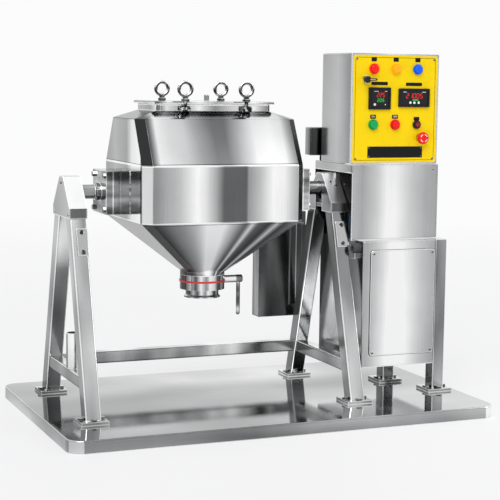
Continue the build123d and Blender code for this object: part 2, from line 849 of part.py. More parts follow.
# Flanged trunnions. The right one reaches on into the coupling.
flange_start = vessel_half_width + hub_block_length
flange_end = flange_start + trunnion_flange
journal_start = stand_from_vessel - housing_width / 2
trunnion_ends = {-1: stand_from_vessel + housing_width / 2, 1: coupling_start + coupling_hub_length}
for trunnion_name, side in (("left", -1), ("right", 1)):
    with BuildPart() as trunnion:
        with BuildSketch(side_plane(vessel_x + side * flange_start)):
            with Locations((axis_y, axis_z)):
                Rectangle(2 * hub_half_depth, 2 * hub_half_height)
                with GridLocations(
                    2 * (hub_half_depth - flange_bolt_inset),
                    2 * (hub_half_height - flange_bolt_inset),
                    2,
                    2,
                ):
                    Circle(flange_bolt_radius, mode=Mode.SUBTRACT)
        extrude(amount=side * trunnion_flange)
        with BuildSketch(side_plane(vessel_x + side * flange_end)):
            with Locations((axis_y, axis_z)):
                Circle(trunnion_collar_radius)
        extrude(amount=side * trunnion_collar_length)
        chamfer(
            trunnion.faces().filter_by(Axis.X).sort_by(Axis.X)[-1 if side > 0 else 0].edges(),
            length=trunnion_collar_edge,
        )
        with BuildSketch(side_plane(vessel_x + side * flange_end)):
            with Locations((axis_y, axis_z)):
                Circle(trunnion_radius)
        extrude(amount=side * (journal_start - flange_end))
        with BuildSketch(side_plane(vessel_x + side * flange_end)):
            with Locations((axis_y, axis_z)):
                Circle(journal_radius)
        extrude(amount=side * (trunnion_ends[side] - flange_end))
    trunnion.part.label = f"{trunnion_name}_trunnion"
    export_step(trunnion.part, f"parts/{trunnion_name}_trunnion.step")

with BuildPart() as trunnion_bolts:
    for side in (-1, 1):
        with BuildSketch(side_plane(vessel_x + side * (vessel_half_width + hub_pad))):
            with Locations((axis_y, axis_z)):
                with GridLocations(
                    2 * (hub_half_depth - flange_bolt_inset),
                    2 * (hub_half_height - flange_bolt_inset),
                    2,
                    2,
                ):
                    Circle(flange_bolt_radius)
        extrude(amount=side * (flange_end - vessel_half_width - hub_pad))
        with BuildSketch(side_plane(vessel_x + side * flange_end)):
            with Locations((axis_y, axis_z)):
                with GridLocations(
                    2 * (hub_half_depth - flange_bolt_inset),
                    2 * (hub_half_height - flange_bolt_inset),
                    2,
                    2,
                ):
                    RegularPolygon(flange_bolt_radius * hexagon_share, 6, major_radius=False)
        extrude(amount=side * flange_bolt_head)
trunnion_bolts.part.label = "trunnion_bolts"
export_step(trunnion_bolts.part, "parts/trunnion_bolts.step")

# Jaw coupling on the right trunnion, with the gearbox's output shaft fixed in its far hub
gearbox_left = vessel_x + gearbox_start
coupling_x = vessel_x + coupling_start
waist_length = coupling_length - 2 * coupling_hub_length
with BuildPart() as shaft_coupling:
    with BuildSketch(side_plane(coupling_x)):
        with Locations((axis_y, axis_z)):
            Circle(coupling_radius)
    extrude(amount=coupling_length)
    chamfer(shaft_coupling.edges().filter_by(GeomType.CIRCLE), length=coupling_edge)
    with BuildSketch(side_plane(coupling_x + coupling_hub_length)):
        with Locations((axis_y, axis_z)):
            Circle(coupling_radius)
            Circle(coupling_radius - coupling_waist_depth, mode=Mode.SUBTRACT)
    extrude(amount=waist_length, mode=Mode.SUBTRACT)
    with BuildSketch(side_plane(coupling_x)):
        with Locations((axis_y, axis_z)):
            Circle(journal_radius)
    extrude(amount=coupling_hub_length, mode=Mode.SUBTRACT)
    with BuildSketch(side_plane(coupling_x + coupling_length)):
        with Locations((axis_y, axis_z)):
            Circle(journal_radius)
    extrude(amount=gearbox_left + output_shaft_depth - coupling_x - coupling_length)
shaft_coupling.part.label = "shaft_coupling"
export_step(shaft_coupling.part, "parts/shaft_coupling.step")

# Worm gearbox on its pedestal, with the motor hanging from the worm housing
with BuildPart() as gearbox:
    with BuildSketch(side_plane(gearbox_left)):
        with Locations((axis_y, axis_z)):
            Circle(gearbox_radius)
        with Locations((axis_y, axis_z - gearbox_foot_drop / 2)):
            Rectangle(2 * gearbox_radius, gearbox_foot_drop)
    extrude(amount=gearbox_width)
    with BuildSketch(Plane((gearbox_x, motor_y, axis_z - worm_housing_half))):
        Circle(worm_housing_radius)
    extrude(amount=2 * worm_housing_half - housing_worm_clearance)
    with BuildSketch(Plane.XY.offset(cabinet_top)):
        with Locations((gearbox_x, axis_y - pedestal_from_axis)):
            Rectangle(gearbox_width, pedestal_depth)
    extrude(amount=cabinet_top_drop - gearbox_foot_drop)
    with BuildSketch(Plane.XY.offset(cabinet_top)):
        with Locations((gearbox_x, axis_y - pedestal_from_axis)):
            Rectangle(gearbox_width + 2 * pedestal_foot, pedestal_depth + pedestal_foot)
    extrude(amount=foot_plate_thickness)
    with BuildSketch(side_plane(gearbox_left)):
        with Locations((axis_y, axis_z)):
            Circle(journal_radius + running_gap)
    extrude(amount=output_shaft_depth, mode=Mode.SUBTRACT)
gearbox.part.label = "gearbox"
export_step(gearbox.part, "parts/gearbox.step")

motor_top = axis_z - worm_housing_half
with BuildPart() as drive_motor:
    with BuildSketch(Plane((gearbox_x, motor_y, motor_top))):
        Circle(motor_flange_radius)
    extrude(amount=-motor_flange_thickness)
    with BuildSketch(Plane((gearbox_x, motor_y, motor_top - motor_flange_thickness))):
        Circle(motor_radius)
        with PolarLocations(motor_radius, motor_fin_count):
            Rectangle(2 * motor_fin_depth, motor_fin_thickness)
    extrude(amount=-motor_length)
    with BuildSketch(Plane((gearbox_x, motor_y, motor_top - motor_flange_thickness - motor_length))):
        Circle(fan_cowl_radius)
    extrude(amount=-fan_cowl_length)
    fillet(drive_motor.faces().sort_by(Axis.Z)[0].edges(), radius=fan_cowl_edge)
drive_motor.part.label = "drive_motor"
export_step(drive_motor.part, "parts/drive_motor.step")

# Drive housing: sheet column under the panel, open to the left below a short band
housing_width_x = housing_right - housing_left
housing_depth = housing_front + housing_back
housing_centre = ((housing_left_x + housing_right_x) / 2, (housing_front_y + housing_back_y) / 2)
housing_height = housing_top_z - cabinet_top
with BuildPart() as drive_housing:
    with BuildSketch(Plane.XY.offset(cabinet_top)):
        with Locations(housing_centre):
            Rectangle(housing_width_x, housing_depth)
    extrude(amount=housing_height)
    fillet(drive_housing.edges().filter_by(Axis.Z), radius=sheet_bend)
    fillet(drive_housing.faces().sort_by(Axis.Z)[-1].edges(), radius=housing_sheet)
    with BuildSketch(Plane.XY.offset(cabinet_top)):
        with Locations(housing_centre):
            inner_x = housing_width_x - 2 * housing_sheet
            Rectangle(inner_x, housing_depth - 2 * housing_sheet)
    extrude(amount=housing_height - housing_sheet, mode=Mode.SUBTRACT)
    with BuildSketch(side_plane(housing_left_x)):
        with Locations((housing_centre[1], cabinet_top + (housing_height - housing_band) / 2)):
            opening_depth = housing_depth - 2 * housing_sheet
            Rectangle(opening_depth, housing_height - housing_band)
    extrude(amount=housing_sheet, mode=Mode.SUBTRACT)
drive_housing.part.label = "drive_housing"
export_step(drive_housing.part, "parts/drive_housing.step")


def cabinet_outline(inset):
    """Plan of the lower cabinet, notched at the front right for the post."""
    left = cabinet_left_x + inset
    right = cabinet_right_x - inset
    front = cabinet_front_y + inset
    back = housing_back_y - inset
    return [
        (left, front),
        (cabinet_right_x - post_width - inset, front),
        (cabinet_right_x - post_width - inset, cabinet_front_y + post_depth + inset),
        (right, cabinet_front_y + post_depth + inset),
        (right, back),
        (left, back),
    ]


# Lower cabinet, open in front behind its panel and above where the motor hangs in
cabinet_height = cabinet_top - cabinet_bottom
access_x = cabinet_left_x + access_from_left + access_width / 2
access_z = cabinet_top - access_from_top - access_height / 2
with BuildPart() as lower_cabinet:
    with BuildSketch(Plane.XY.offset(cabinet_bottom)):
        with BuildLine():
            Polyline(*cabinet_outline(0), close=True)
        make_face()
    extrude(amount=cabinet_height)
    fillet(lower_cabinet.edges().filter_by(Axis.Z), radius=sheet_bend)
    fillet(lower_cabinet.faces().sort_by(Axis.Z)[-1].edges(), radius=housing_sheet)
    with BuildSketch(Plane.XY.offset(cabinet_bottom + housing_sheet)):
        with BuildLine():
            Polyline(*cabinet_outline(housing_sheet), close=True)
        make_face()
    extrude(amount=cabinet_height - 2 * housing_sheet, mode=Mode.SUBTRACT)
    with BuildSketch(Plane.XY.offset(cabinet_top)):
        with Locations((gearbox_x, motor_y)):
            Circle(motor_flange_radius + motor_clearance)
    extrude(amount=-2 * housing_sheet, mode=Mode.SUBTRACT)
    with BuildSketch(front_plane(cabinet_front_y)):
        with Locations((access_x, access_z)):
            RectangleRounded(
                access_width - 2 * access_overlap, access_height - 2 * access_overlap, access_corner
            )
    extrude(amount=-housing_sheet, mode=Mode.SUBTRACT)
    leg_face = right_stand_x + tube_size / 2
    brace_face = right_stand_x + cross_tube_size / 2
    with BuildSketch(side_plane(cabinet_left_x)):
        with Locations((axis_y - spacer_from_axis, cabinet_top - spacer_from_top)):
            Rectangle(spacer_size, spacer_size)
    extrude(amount=leg_face - cabinet_left_x)
    with BuildSketch(side_plane(cabinet_left_x)):
        with Locations((axis_y, cabinet_bottom + spacer_size / 2)):
            Rectangle(2 * spacer_size, spacer_size * 0.8)
    extrude(amount=brace_face - cabinet_left_x)
lower_cabinet.part.label = "lower_cabinet"
export_step(lower_cabinet.part, "parts/lower_cabinet.step")

with BuildPart() as cabinet_panel:
    with BuildSketch(front_plane(cabinet_front_y)):
        with Locations((access_x, access_z)):
            RectangleRounded(access_width, access_height, access_corner)
    extrude(amount=access_thickness)
    chamfer(cabinet_panel.faces().sort_by(Axis.Y)[0].edges(), length=access_edge)
cabinet_panel.part.label = "cabinet_panel"
export_step(cabinet_panel.part, "parts/cabinet_panel.step")

# Posts: a full-height one at the front right corner, a short one under the cabinet
with BuildPart() as cabinet_posts:
    for (x, y), top in zip(post_places, (cabinet_top, cabinet_bottom)):
        with BuildSketch(Plane.XY.offset(foot_top)):
            with Locations((x, y)):
                RectangleRounded(post_width, post_depth, tube_corner)
        extrude(amount=top - foot_top)
        with BuildSketch(Plane.XY.offset(foot_top)):
            with Locations((x, y)):
                Rectangle(post_width - 2 * tube_sheet, post_depth - 2 * tube_sheet)
        extrude(amount=top - foot_top - tube_sheet, mode=Mode.SUBTRACT)
cabinet_posts.part.label = "cabinet_posts"
export_step(cabinet_posts.part, "parts/cabinet_posts.step")

# Supply gland, for the cable that the photo doesn't show
with BuildPart() as supply_gland:
    with BuildSketch(side_plane(cabinet_left_x)):
        with Locations((axis_y - gland_from_axis, cabinet_top - gland_from_top)):
            Circle(gland_radius)
    extrude(amount=-gland_length)
    chamfer(supply_gland.faces().sort_by(Axis.X)[0].edges(), length=gland_edge)
    with BuildSketch(side_plane(cabinet_left_x)):
        with Locations((axis_y - gland_from_axis, cabinet_top - gland_from_top)):
            Circle(gland_bore_radius)
    extrude(amount=-gland_length, mode=Mode.SUBTRACT)
supply_gland.part.label = "supply_gland"
export_step(supply_gland.part, "parts/supply_gland.step")

# Speed drive box and the bracket that carries it behind the right rear leg
drive_box_x = vessel_x + drive_box_left + drive_box_width / 2
drive_box_top = axis_z - drive_box_top_drop
with BuildPart() as inverter_box:
    with BuildSketch(front_plane(axis_y + drive_box_front)):
        with Locations((drive_box_x, drive_box_top - drive_box_height / 2)):
            RectangleRounded(drive_box_width, drive_box_height, box_corner)
    extrude(amount=-drive_box_depth)
    chamfer(inverter_box.faces().sort_by(Axis.Y)[0].edges(), length=drive_box_edge)
inverter_box.part.label = "inverter_box"
export_step(inverter_box.part, "parts/inverter_box.step")


def leg_outer_face(z):
    """Distance from the axis to the outer face of a leg at height z."""
    return leg_inner_face(z) + leg_depth


bracket_top = drive_box_top - bracket_margin
bracket_bottom = drive_box_top - drive_box_height + bracket_margin
with BuildPart() as box_bracket:
    with BuildSketch(side_plane(right_stand_x)):
        with BuildLine():
            Polyline(
                (axis_y + leg_outer_face(bracket_top), bracket_top),
                (axis_y + drive_box_front, bracket_top),
                (axis_y + drive_box_front, bracket_bottom),
                (axis_y + leg_outer_face(bracket_bottom), bracket_bottom),
                close=True,
            )
        make_face()
    extrude(amount=bracket_sheet / 2, both=True)
    with BuildSketch(front_plane(axis_y + drive_box_front)):
        with Locations((right_stand_x, (bracket_top + bracket_bottom) / 2)):
            Rectangle(tube_size, bracket_top - bracket_bottom)
    extrude(amount=bracket_sheet)
box_bracket.part.label = "box_bracket"
export_step(box_bracket.part, "parts/box_bracket.step")

# Junction box on its nipple, behind the panel's left edge
junction_x = housing_left_x + junction_stem_radius + junction_stem_inset
junction_y = housing_back_y - junction_depth / 2 - junction_back_gap
with BuildPart() as junction_box:
    with BuildSketch(Plane((junction_x, junction_y, housing_top_z))):
        Circle(junction_stem_radius)
    extrude(amount=junction_stem)
    with BuildSketch(Plane.XY.offset(housing_top_z + junction_stem)):
        with Locations((junction_x + junction_overhang - junction_width / 2, junction_y)):
            RectangleRounded(junction_width, junction_depth, box_corner)
    extrude(amount=junction_height)
    chamfer(junction_box.faces().sort_by(Axis.Z)[-1].edges(), length=junction_edge)
junction_box.part.label = "junction_box"
export_step(junction_box.part, "parts/junction_box.step")

# Panel enclosure with a recess that takes the plate
panel_middle_z = panel_z + panel_height / 2
plate_width = panel_width - 2 * panel_border
plate_height = panel_height - 2 * panel_border
with BuildPart() as panel_enclosure:
    with BuildSketch(front_plane(panel_front_y)):
        with Locations((panel_x, panel_middle_z)):
            RectangleRounded(panel_width, panel_height, sheet_bend)
    extrude(amount=-panel_depth)
    fillet(panel_enclosure.faces().sort_by(Axis.Y)[-1].edges(), radius=panel_sheet)
    with BuildSketch(front_plane(panel_front_y + plate_thickness + panel_sheet)):
        with Locations((panel_x, panel_middle_z)):
            Rectangle(panel_width - 2 * panel_sheet, panel_height - 2 * panel_sheet)
    extrude(amount=-panel_depth + plate_thickness + 2 * panel_sheet, mode=Mode.SUBTRACT)
    with BuildSketch(front_plane(panel_front_y)):
        with Locations((panel_x, panel_middle_z)):
            RectangleRounded(plate_width, plate_height, plate_corner)
    extrude(amount=-plate_thickness, mode=Mode.SUBTRACT)
    with BuildSketch(front_plane(panel_front_y)):
        with Locations((panel_x, panel_middle_z)):
            RectangleRounded(
                plate_width - 2 * panel_ledge, plate_height - 2 * panel_ledge, plate_corner
            )
    extrude(amount=-plate_thickness - 2 * panel_sheet, mode=Mode.SUBTRACT)
panel_enclosure.part.label = "panel_enclosure"
export_step(panel_enclosure.part, "parts/panel_enclosure.step")

lamp_places = [(panel_x + i * control_pitch, panel_top_z - lamp_drop) for i in (-1, 0, 1)]
button_places = [(panel_x + i * control_pitch, panel_top_z - button_drop) for i in (-1, 0)]
reset_place = (panel_x + control_pitch, panel_top_z - button_drop)
stop_place = (panel_x + stop_x, panel_top_z - stop_drop)
selector_place = (panel_x + selector_x, panel_top_z - selector_drop)
meters = [
    ("speed_meter", speed_meter_x, speed_meter_drop, speed_meter_width, speed_meter_height),
    ("batch_timer", timer_x, timer_drop, timer_width, timer_height),
]
large_controls = lamp_places + button_places + [stop_place]
small_controls = [reset_place, selector_place]
stem_hole = stem_radius + stem_clearance
small_stem_hole = small_stem_radius + stem_clearance

with BuildPart() as panel_plate:
    with BuildSketch(front_plane(plate_front_y + plate_thickness)):
        with Locations((panel_x, panel_middle_z)):
            RectangleRounded(
                plate_width - 2 * plate_gap, plate_height - 2 * plate_gap, plate_corner - plate_gap
            )
        with Locations(*large_controls):
            Circle(stem_hole, mode=Mode.SUBTRACT)
        with Locations(*small_controls):
            Circle(small_stem_hole, mode=Mode.SUBTRACT)
        for _, x, drop, width, height in meters:
            with Locations((panel_x + x, panel_top_z - drop)):
                Rectangle(
                    width - 2 * meter_body_inset, height - 2 * meter_body_inset, mode=Mode.SUBTRACT
                )
    extrude(amount=plate_thickness)
panel_plate.part.label = "panel_plate"
export_step(panel_plate.part, "parts/panel_plate.step")

# Rings in front of the plate and contact blocks behind it
plate_back_y = plate_front_y + plate_thickness
with BuildPart() as control_bezels:
    with BuildSketch(front_plane(plate_front_y)):
        with Locations(*lamp_places, *button_places):
            Circle(bezel_radius)
            Circle(cap_radius + cap_gap, mode=Mode.SUBTRACT)
        with Locations(reset_place):
            Circle(small_bezel_radius)
            Circle(small_cap_radius + cap_gap, mode=Mode.SUBTRACT)
    extrude(amount=bezel_thickness)
    with BuildSketch(front_plane(plate_front_y)):
        with Locations(selector_place):
            Circle(selector_base_radius)
            Circle(small_stem_hole, mode=Mode.SUBTRACT)
    extrude(amount=selector_base_length)
    with BuildSketch(front_plane(plate_front_y)):
        with Locations(stop_place):
            Circle(stop_collar_radius)
            Circle(stem_hole, mode=Mode.SUBTRACT)
    extrude(amount=stop_collar_length)
    with BuildSketch(front_plane(plate_back_y)):
        with Locations(*large_controls):
            Rectangle(block_size, block_size)
            Circle(stem_hole, mode=Mode.SUBTRACT)
        with Locations(*small_controls):
            Rectangle(block_size, block_size)
            Circle(small_stem_hole, mode=Mode.SUBTRACT)
    extrude(amount=-block_depth)
control_bezels.part.label = "control_bezels"
export_step(control_bezels.part, "parts/control_bezels.step")

# Pilot lamps
for lamp_name, place in zip(("red_lamp", "amber_lamp", "blue_lamp"), lamp_places):
    with BuildPart() as lamp:
        with BuildSketch(front_plane(plate_front_y)):
            with Locations(place):
                Circle(cap_radius)
        extrude(amount=cap_height)
        fillet(lamp.faces().sort_by(Axis.Y)[0].edges(), radius=lamp_dome)
        with BuildSketch(front_plane(plate_front_y)):
            with Locations(place):
                Circle(stem_radius)
        extrude(amount=-stem_length)
    lamp.part.label = lamp_name
    export_step(lamp.part, f"parts/{lamp_name}.step")

# Push buttons: a cap that sinks into its ring, on a stem through the plate
push_buttons = [
    ("start_button", button_places[0], cap_radius, stem_radius, button_travel),
    ("stop_button", button_places[1], cap_radius, stem_radius, button_travel),
    ("reset_button", reset_place, small_cap_radius, small_stem_radius, button_travel),
]
for button_name, place, radius, stem, travel in push_buttons:
    cap_back = plate_front_y - travel - stem_clearance
    with BuildPart() as button:
        with BuildSketch(front_plane(cap_back)):
            with Locations(place):
                Circle(radius)
        extrude(amount=cap_height - travel)
        fillet(button.faces().sort_by(Axis.Y)[0].edges(), radius=cap_edge)
        with BuildSketch(front_plane(cap_back)):
            with Locations(place):
                Circle(stem)
        extrude(amount=-stem_length)
    button.part.label = button_name
    export_step(button.part, f"parts/{button_name}.step")

# Mushroom-headed emergency stop
head_back = plate_front_y - stop_collar_length - stop_travel - stem_clearance
with BuildPart() as estop_button:
    with BuildSketch(front_plane(head_back)):
        with Locations(stop_place):
            Circle(stop_head_radius)
    extrude(amount=stop_head_height)
    fillet(estop_button.faces().sort_by(Axis.Y)[0].edges(), radius=stop_head_edge)
    with BuildSketch(front_plane(head_back)):
        with Locations(stop_place):
            Circle(stem_radius)
    extrude(amount=-stem_length - stop_collar_length)
estop_button.part.label = "estop_button"
export_step(estop_button.part, "parts/estop_button.step")

# Selector: round knob with a long handle pointing right
selector_front = plate_front_y - selector_base_length - stem_clearance
with BuildPart() as selector_lever:
    with BuildSketch(front_plane(selector_front)):
        with Locations(selector_place):
            Circle(selector_knob_radius)
        with Locations((selector_place[0] + selector_lever_length / 2, selector_place[1])):
            SlotOverall(selector_lever_length + selector_bar, selector_bar)
    extrude(amount=selector_depth)
    chamfer(selector_lever.faces().sort_by(Axis.Y)[0].edges(), length=cap_edge)
    with BuildSketch(front_plane(selector_front)):
        with Locations(selector_place):
            Circle(small_stem_radius)
    extrude(amount=-stem_length - selector_base_length)
selector_lever.part.label = "selector_lever"
export_step(selector_lever.part, "parts/selector_lever.step")

# Meters: a raised frame round a sunk face, with the body behind the plate
for meter_name, x, drop, width, height in meters:
    with BuildPart() as meter:
        with BuildSketch(front_plane(plate_front_y)):
            with Locations((panel_x + x, panel_top_z - drop)):
                RectangleRounded(width, height, meter_corner)
        extrude(amount=meter_depth)
        chamfer(meter.faces().sort_by(Axis.Y)[0].edges(), length=meter_edge)
        with BuildSketch(front_plane(plate_front_y - meter_depth)):
            with Locations((panel_x + x, panel_top_z - drop)):
                Rectangle(width - 2 * meter_rim, height - 2 * meter_rim)
        extrude(amount=-meter_sink, mode=Mode.SUBTRACT)
        with BuildSketch(front_plane(plate_front_y)):
            with Locations((panel_x + x, panel_top_z - drop)):
                Rectangle(width - 2 * meter_body_inset, height - 2 * meter_body_inset)
        extrude(amount=-block_depth)
    meter.part.label = meter_name
    export_step(meter.part, f"parts/{meter_name}.step")

# Butterfly valve below the outlet collar: body, seat, disc on its stem, and lever
stem_z = axis_z - valve_split_drop
with BuildPart() as valve_body:
    with BuildSketch(Plane((vessel_x, axis_y, axis_z - valve_bottom_drop))):
        Circle(valve_radius)
    extrude(amount=valve_bottom_drop - outlet_collar_bottom_drop)
    with BuildSketch(Plane((vessel_x, axis_y, axis_z - valve_bottom_drop))):
        Circle(valve_neck_radius)
    extrude(amount=-(ferrule_bottom_drop - valve_bottom_drop))
    with BuildSketch(Plane((vessel_x, axis_y, axis_z - ferrule_bottom_drop))):
        Circle(ferrule_radius)
    extrude(amount=ferrule_rim)
    with BuildSketch(Plane((vessel_x, axis_y, axis_z - ferrule_bottom_drop + ferrule_rim))):
        Circle(ferrule_radius)
    extrude(amount=ferrule_radius - valve_neck_radius, taper=45)
    with BuildSketch(side_plane(vessel_x)):
        with Locations((axis_y, stem_z)):
            Circle(stem_boss_radius)
    extrude(amount=valve_radius + stem_boss_length)
    with BuildSketch(Plane((vessel_x, axis_y, stem_z))):
        Circle(seat_ring_radius)
    extrude(amount=seat_ring_thickness / 2, both=True, mode=Mode.SUBTRACT)
    with BuildSketch(Plane((vessel_x, axis_y, axis_z - ferrule_bottom_drop))):
        Circle(outlet_bore_radius)
    extrude(amount=ferrule_bottom_drop - outlet_collar_bottom_drop, mode=Mode.SUBTRACT)
    with BuildSketch(side_plane(vessel_x - stem_blind_end)):
        with Locations((axis_y, stem_z)):
            Circle(valve_stem_radius + running_gap)
    extrude(amount=stem_blind_end + valve_radius + stem_boss_length, mode=Mode.SUBTRACT)
valve_body.part.label = "valve_body"
export_step(valve_body.part, "parts/valve_body.step")

with BuildPart() as valve_seat:
    with BuildSketch(Plane((vessel_x, axis_y, stem_z))):
        Circle(seat_ring_radius)
        Circle(outlet_bore_radius, mode=Mode.SUBTRACT)
    extrude(amount=seat_ring_thickness / 2, both=True)
    with BuildSketch(side_plane(vessel_x - stem_blind_end)):
        with Locations((axis_y, stem_z)):
            Circle(valve_stem_radius + running_gap)
    extrude(amount=stem_blind_end + seat_ring_radius, mode=Mode.SUBTRACT)
valve_seat.part.label = "valve_seat"
export_step(valve_seat.part, "parts/valve_seat.step")

disc_radius = outlet_bore_radius - disc_gap
lever_start = valve_radius + stem_boss_length + nut_gap
with BuildPart() as valve_disc:
    with BuildSketch(Plane((vessel_x, axis_y, stem_z), x_dir=(1, 0, 0), z_dir=(0, -1, 0))):
        Circle(disc_radius)
    extrude(amount=disc_thickness / 2, both=True)
    chamfer(valve_disc.edges().filter_by(GeomType.CIRCLE), length=disc_edge_width, length2=disc_edge_depth)
    with BuildSketch(side_plane(vessel_x - stem_blind_end + stem_end_gap)):
        with Locations((axis_y, stem_z)):
            Circle(valve_stem_radius)
    extrude(amount=stem_blind_end - stem_end_gap + lever_start + lever_hub_length)
valve_disc.part.label = "valve_disc"
export_step(valve_disc.part, "parts/valve_disc.step")

lever_x = vessel_x + lever_start + lever_hub_length / 2
with BuildPart() as valve_lever:
    with BuildSketch(Plane((lever_x, axis_y, stem_z))):
        Circle(lever_rod_radius)
    extrude(amount=-lever_length)
    fillet(valve_lever.faces().sort_by(Axis.Z)[0].edges(), radius=lever_rod_radius - lever_end_flat)
    with BuildSketch(side_plane(vessel_x + lever_start)):
        with Locations((axis_y, stem_z)):
            Circle(stem_boss_radius)
    extrude(amount=lever_hub_length)
    chamfer(valve_lever.faces().sort_by(Axis.X)[-1].edges(), length=lever_hub_edge)
    with BuildSketch(side_plane(vessel_x + lever_start)):
        with Locations((axis_y, stem_z)):
            Circle(valve_stem_radius)
    extrude(amount=lever_hub_length, mode=Mode.SUBTRACT)
valve_lever.part.label = "valve_lever"
export_step(valve_lever.part, "parts/valve_lever.step")
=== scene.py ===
"""Octagonal blender in a plain studio: polished steel, welds, screws and the operator panel."""

import json
from math import cos, pi, radians, sin, tan

import bmesh
import bpy
from mathutils import Matrix, Vector


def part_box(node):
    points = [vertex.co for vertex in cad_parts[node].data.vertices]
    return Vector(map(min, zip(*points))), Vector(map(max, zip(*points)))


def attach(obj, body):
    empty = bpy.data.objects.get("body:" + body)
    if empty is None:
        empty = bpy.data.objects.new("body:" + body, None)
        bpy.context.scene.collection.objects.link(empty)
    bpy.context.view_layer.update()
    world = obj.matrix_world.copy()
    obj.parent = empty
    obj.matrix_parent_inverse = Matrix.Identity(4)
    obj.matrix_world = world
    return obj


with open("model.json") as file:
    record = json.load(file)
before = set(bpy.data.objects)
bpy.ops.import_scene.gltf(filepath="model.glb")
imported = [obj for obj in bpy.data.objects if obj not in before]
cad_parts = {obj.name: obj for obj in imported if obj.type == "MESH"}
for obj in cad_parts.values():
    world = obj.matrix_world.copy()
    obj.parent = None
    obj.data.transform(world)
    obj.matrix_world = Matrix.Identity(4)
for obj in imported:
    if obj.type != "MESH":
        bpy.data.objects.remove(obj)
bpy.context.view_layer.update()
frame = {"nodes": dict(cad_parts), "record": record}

MM = 0.001

# Camera, fitted to the photograph
CAMERA_PLACE = Vector((-1.799, -4.376, 1.068))
CAMERA_YAW = radians(22.76)
CAMERA_PITCH = radians(6.65)
CAMERA_ROLL = radians(0.73)
FOCAL_PIXELS = 1450.94
PICTURE_PIXELS = 500.0
SENSOR_MM = 36.0
CENTRE_RIGHT_PIXELS = 5.79
CENTRE_DOWN_PIXELS = 2.12

# Places taken from the frame
VESSEL_LOW, VESSEL_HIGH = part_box("vessel_shell")
VESSEL_X = (VESSEL_LOW.x + VESSEL_HIGH.x) / 2
HALF_WIDTH = (VESSEL_HIGH.x - VESSEL_LOW.x) / 2
HALF_DEPTH = (VESSEL_HIGH.y - VESSEL_LOW.y) / 2
AXIS_Y = (VESSEL_LOW.y + VESSEL_HIGH.y) / 2
BEARING_LOW, BEARING_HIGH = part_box("bearings")
AXIS_Z = (BEARING_LOW.z + BEARING_HIGH.z) / 2

# The vessel's folds: the band lies evenly about the axis, and the hopper narrows below it
BAND_HALF_HEIGHT = 89 * MM
NECK_BOTTOM = 254 * MM
HOPPER_HEIGHT = 173 * MM
HOPPER_FOOT_HALF = 66 * MM

# Tones of the steel, as the eye sees them, from 0 for its darkest to 1 for its brightest
EYE_POWER = 2.2
TONE_STEPS = (0.0, 0.2, 0.4, 0.6, 0.8, 1.0)
DARKEST_STEEL = 0.02
STEEL_TINT = 0.05

# Painted highlight and shade lines along edges: their width, and what brings the bend of a square edge
# to about 1
BROAD_EDGE_LIGHT = 7 * MM
FINE_EDGE_LIGHT = 1.8 * MM
FULL_BEND = 3.4
MIDDLE_TONE = 0.5
EDGE_LIGHT_STOPS = ((0.02, MIDDLE_TONE), (0.06, 0.28), (0.13, 0.28), (0.24, 0.9))

# Scale of the brush lines along X, Y and Z, smallest along the lines, or even on welds
VERTICAL_BRUSH = (620.0, 620.0, 9.0)
LENGTH_BRUSH = (9.0, 620.0, 620.0)
DEPTH_BRUSH = (620.0, 9.0, 620.0)
EVEN_BRUSH = (300.0, 300.0, 300.0)

# How squarely a face looks along an axis before it counts as looking that way
SIDE_FACING = 0.93
UP_FACING = 0.9
SLOPE_FACING = 0.35
ROUNDING_FACING = 0.12
VESSEL_END_FACING = 0.92
VESSEL_CORNER_FACING = 0.3
TURNED_TOP_FACING = 0.6


class Value:
    """A shader socket that can be used in sums. A sum adds its Math nodes to the tree."""

    def __init__(self, shading, socket):
        self.shading = shading
        self.socket = socket

    def _math(self, operation, first, second=None, clamp=False):
        settings = {"operation": operation, "use_clamp": clamp}
        return self.shading.node("ShaderNodeMath", settings, first, second)

    def __add__(self, other):
        return self._math("ADD", self, other)

    __radd__ = __add__

    def __mul__(self, other):
        return self._math("MULTIPLY", self, other)

    __rmul__ = __mul__

    def __sub__(self, other):
        return self._math("SUBTRACT", self, other)

    def __rsub__(self, other):
        return self._math("SUBTRACT", other, self)

    def __truediv__(self, other):
        return self._math("DIVIDE", self, other)

    def __gt__(self, other):
        return self._math("GREATER_THAN", self, other)

    def __lt__(self, other):
        return self._math("LESS_THAN", self, other)

    def __abs__(self):
        return self._math("ABSOLUTE", self)

    def clamp(self):
        """The value held between 0 and 1."""
        return self._math("ADD", self, 0.0, clamp=True)


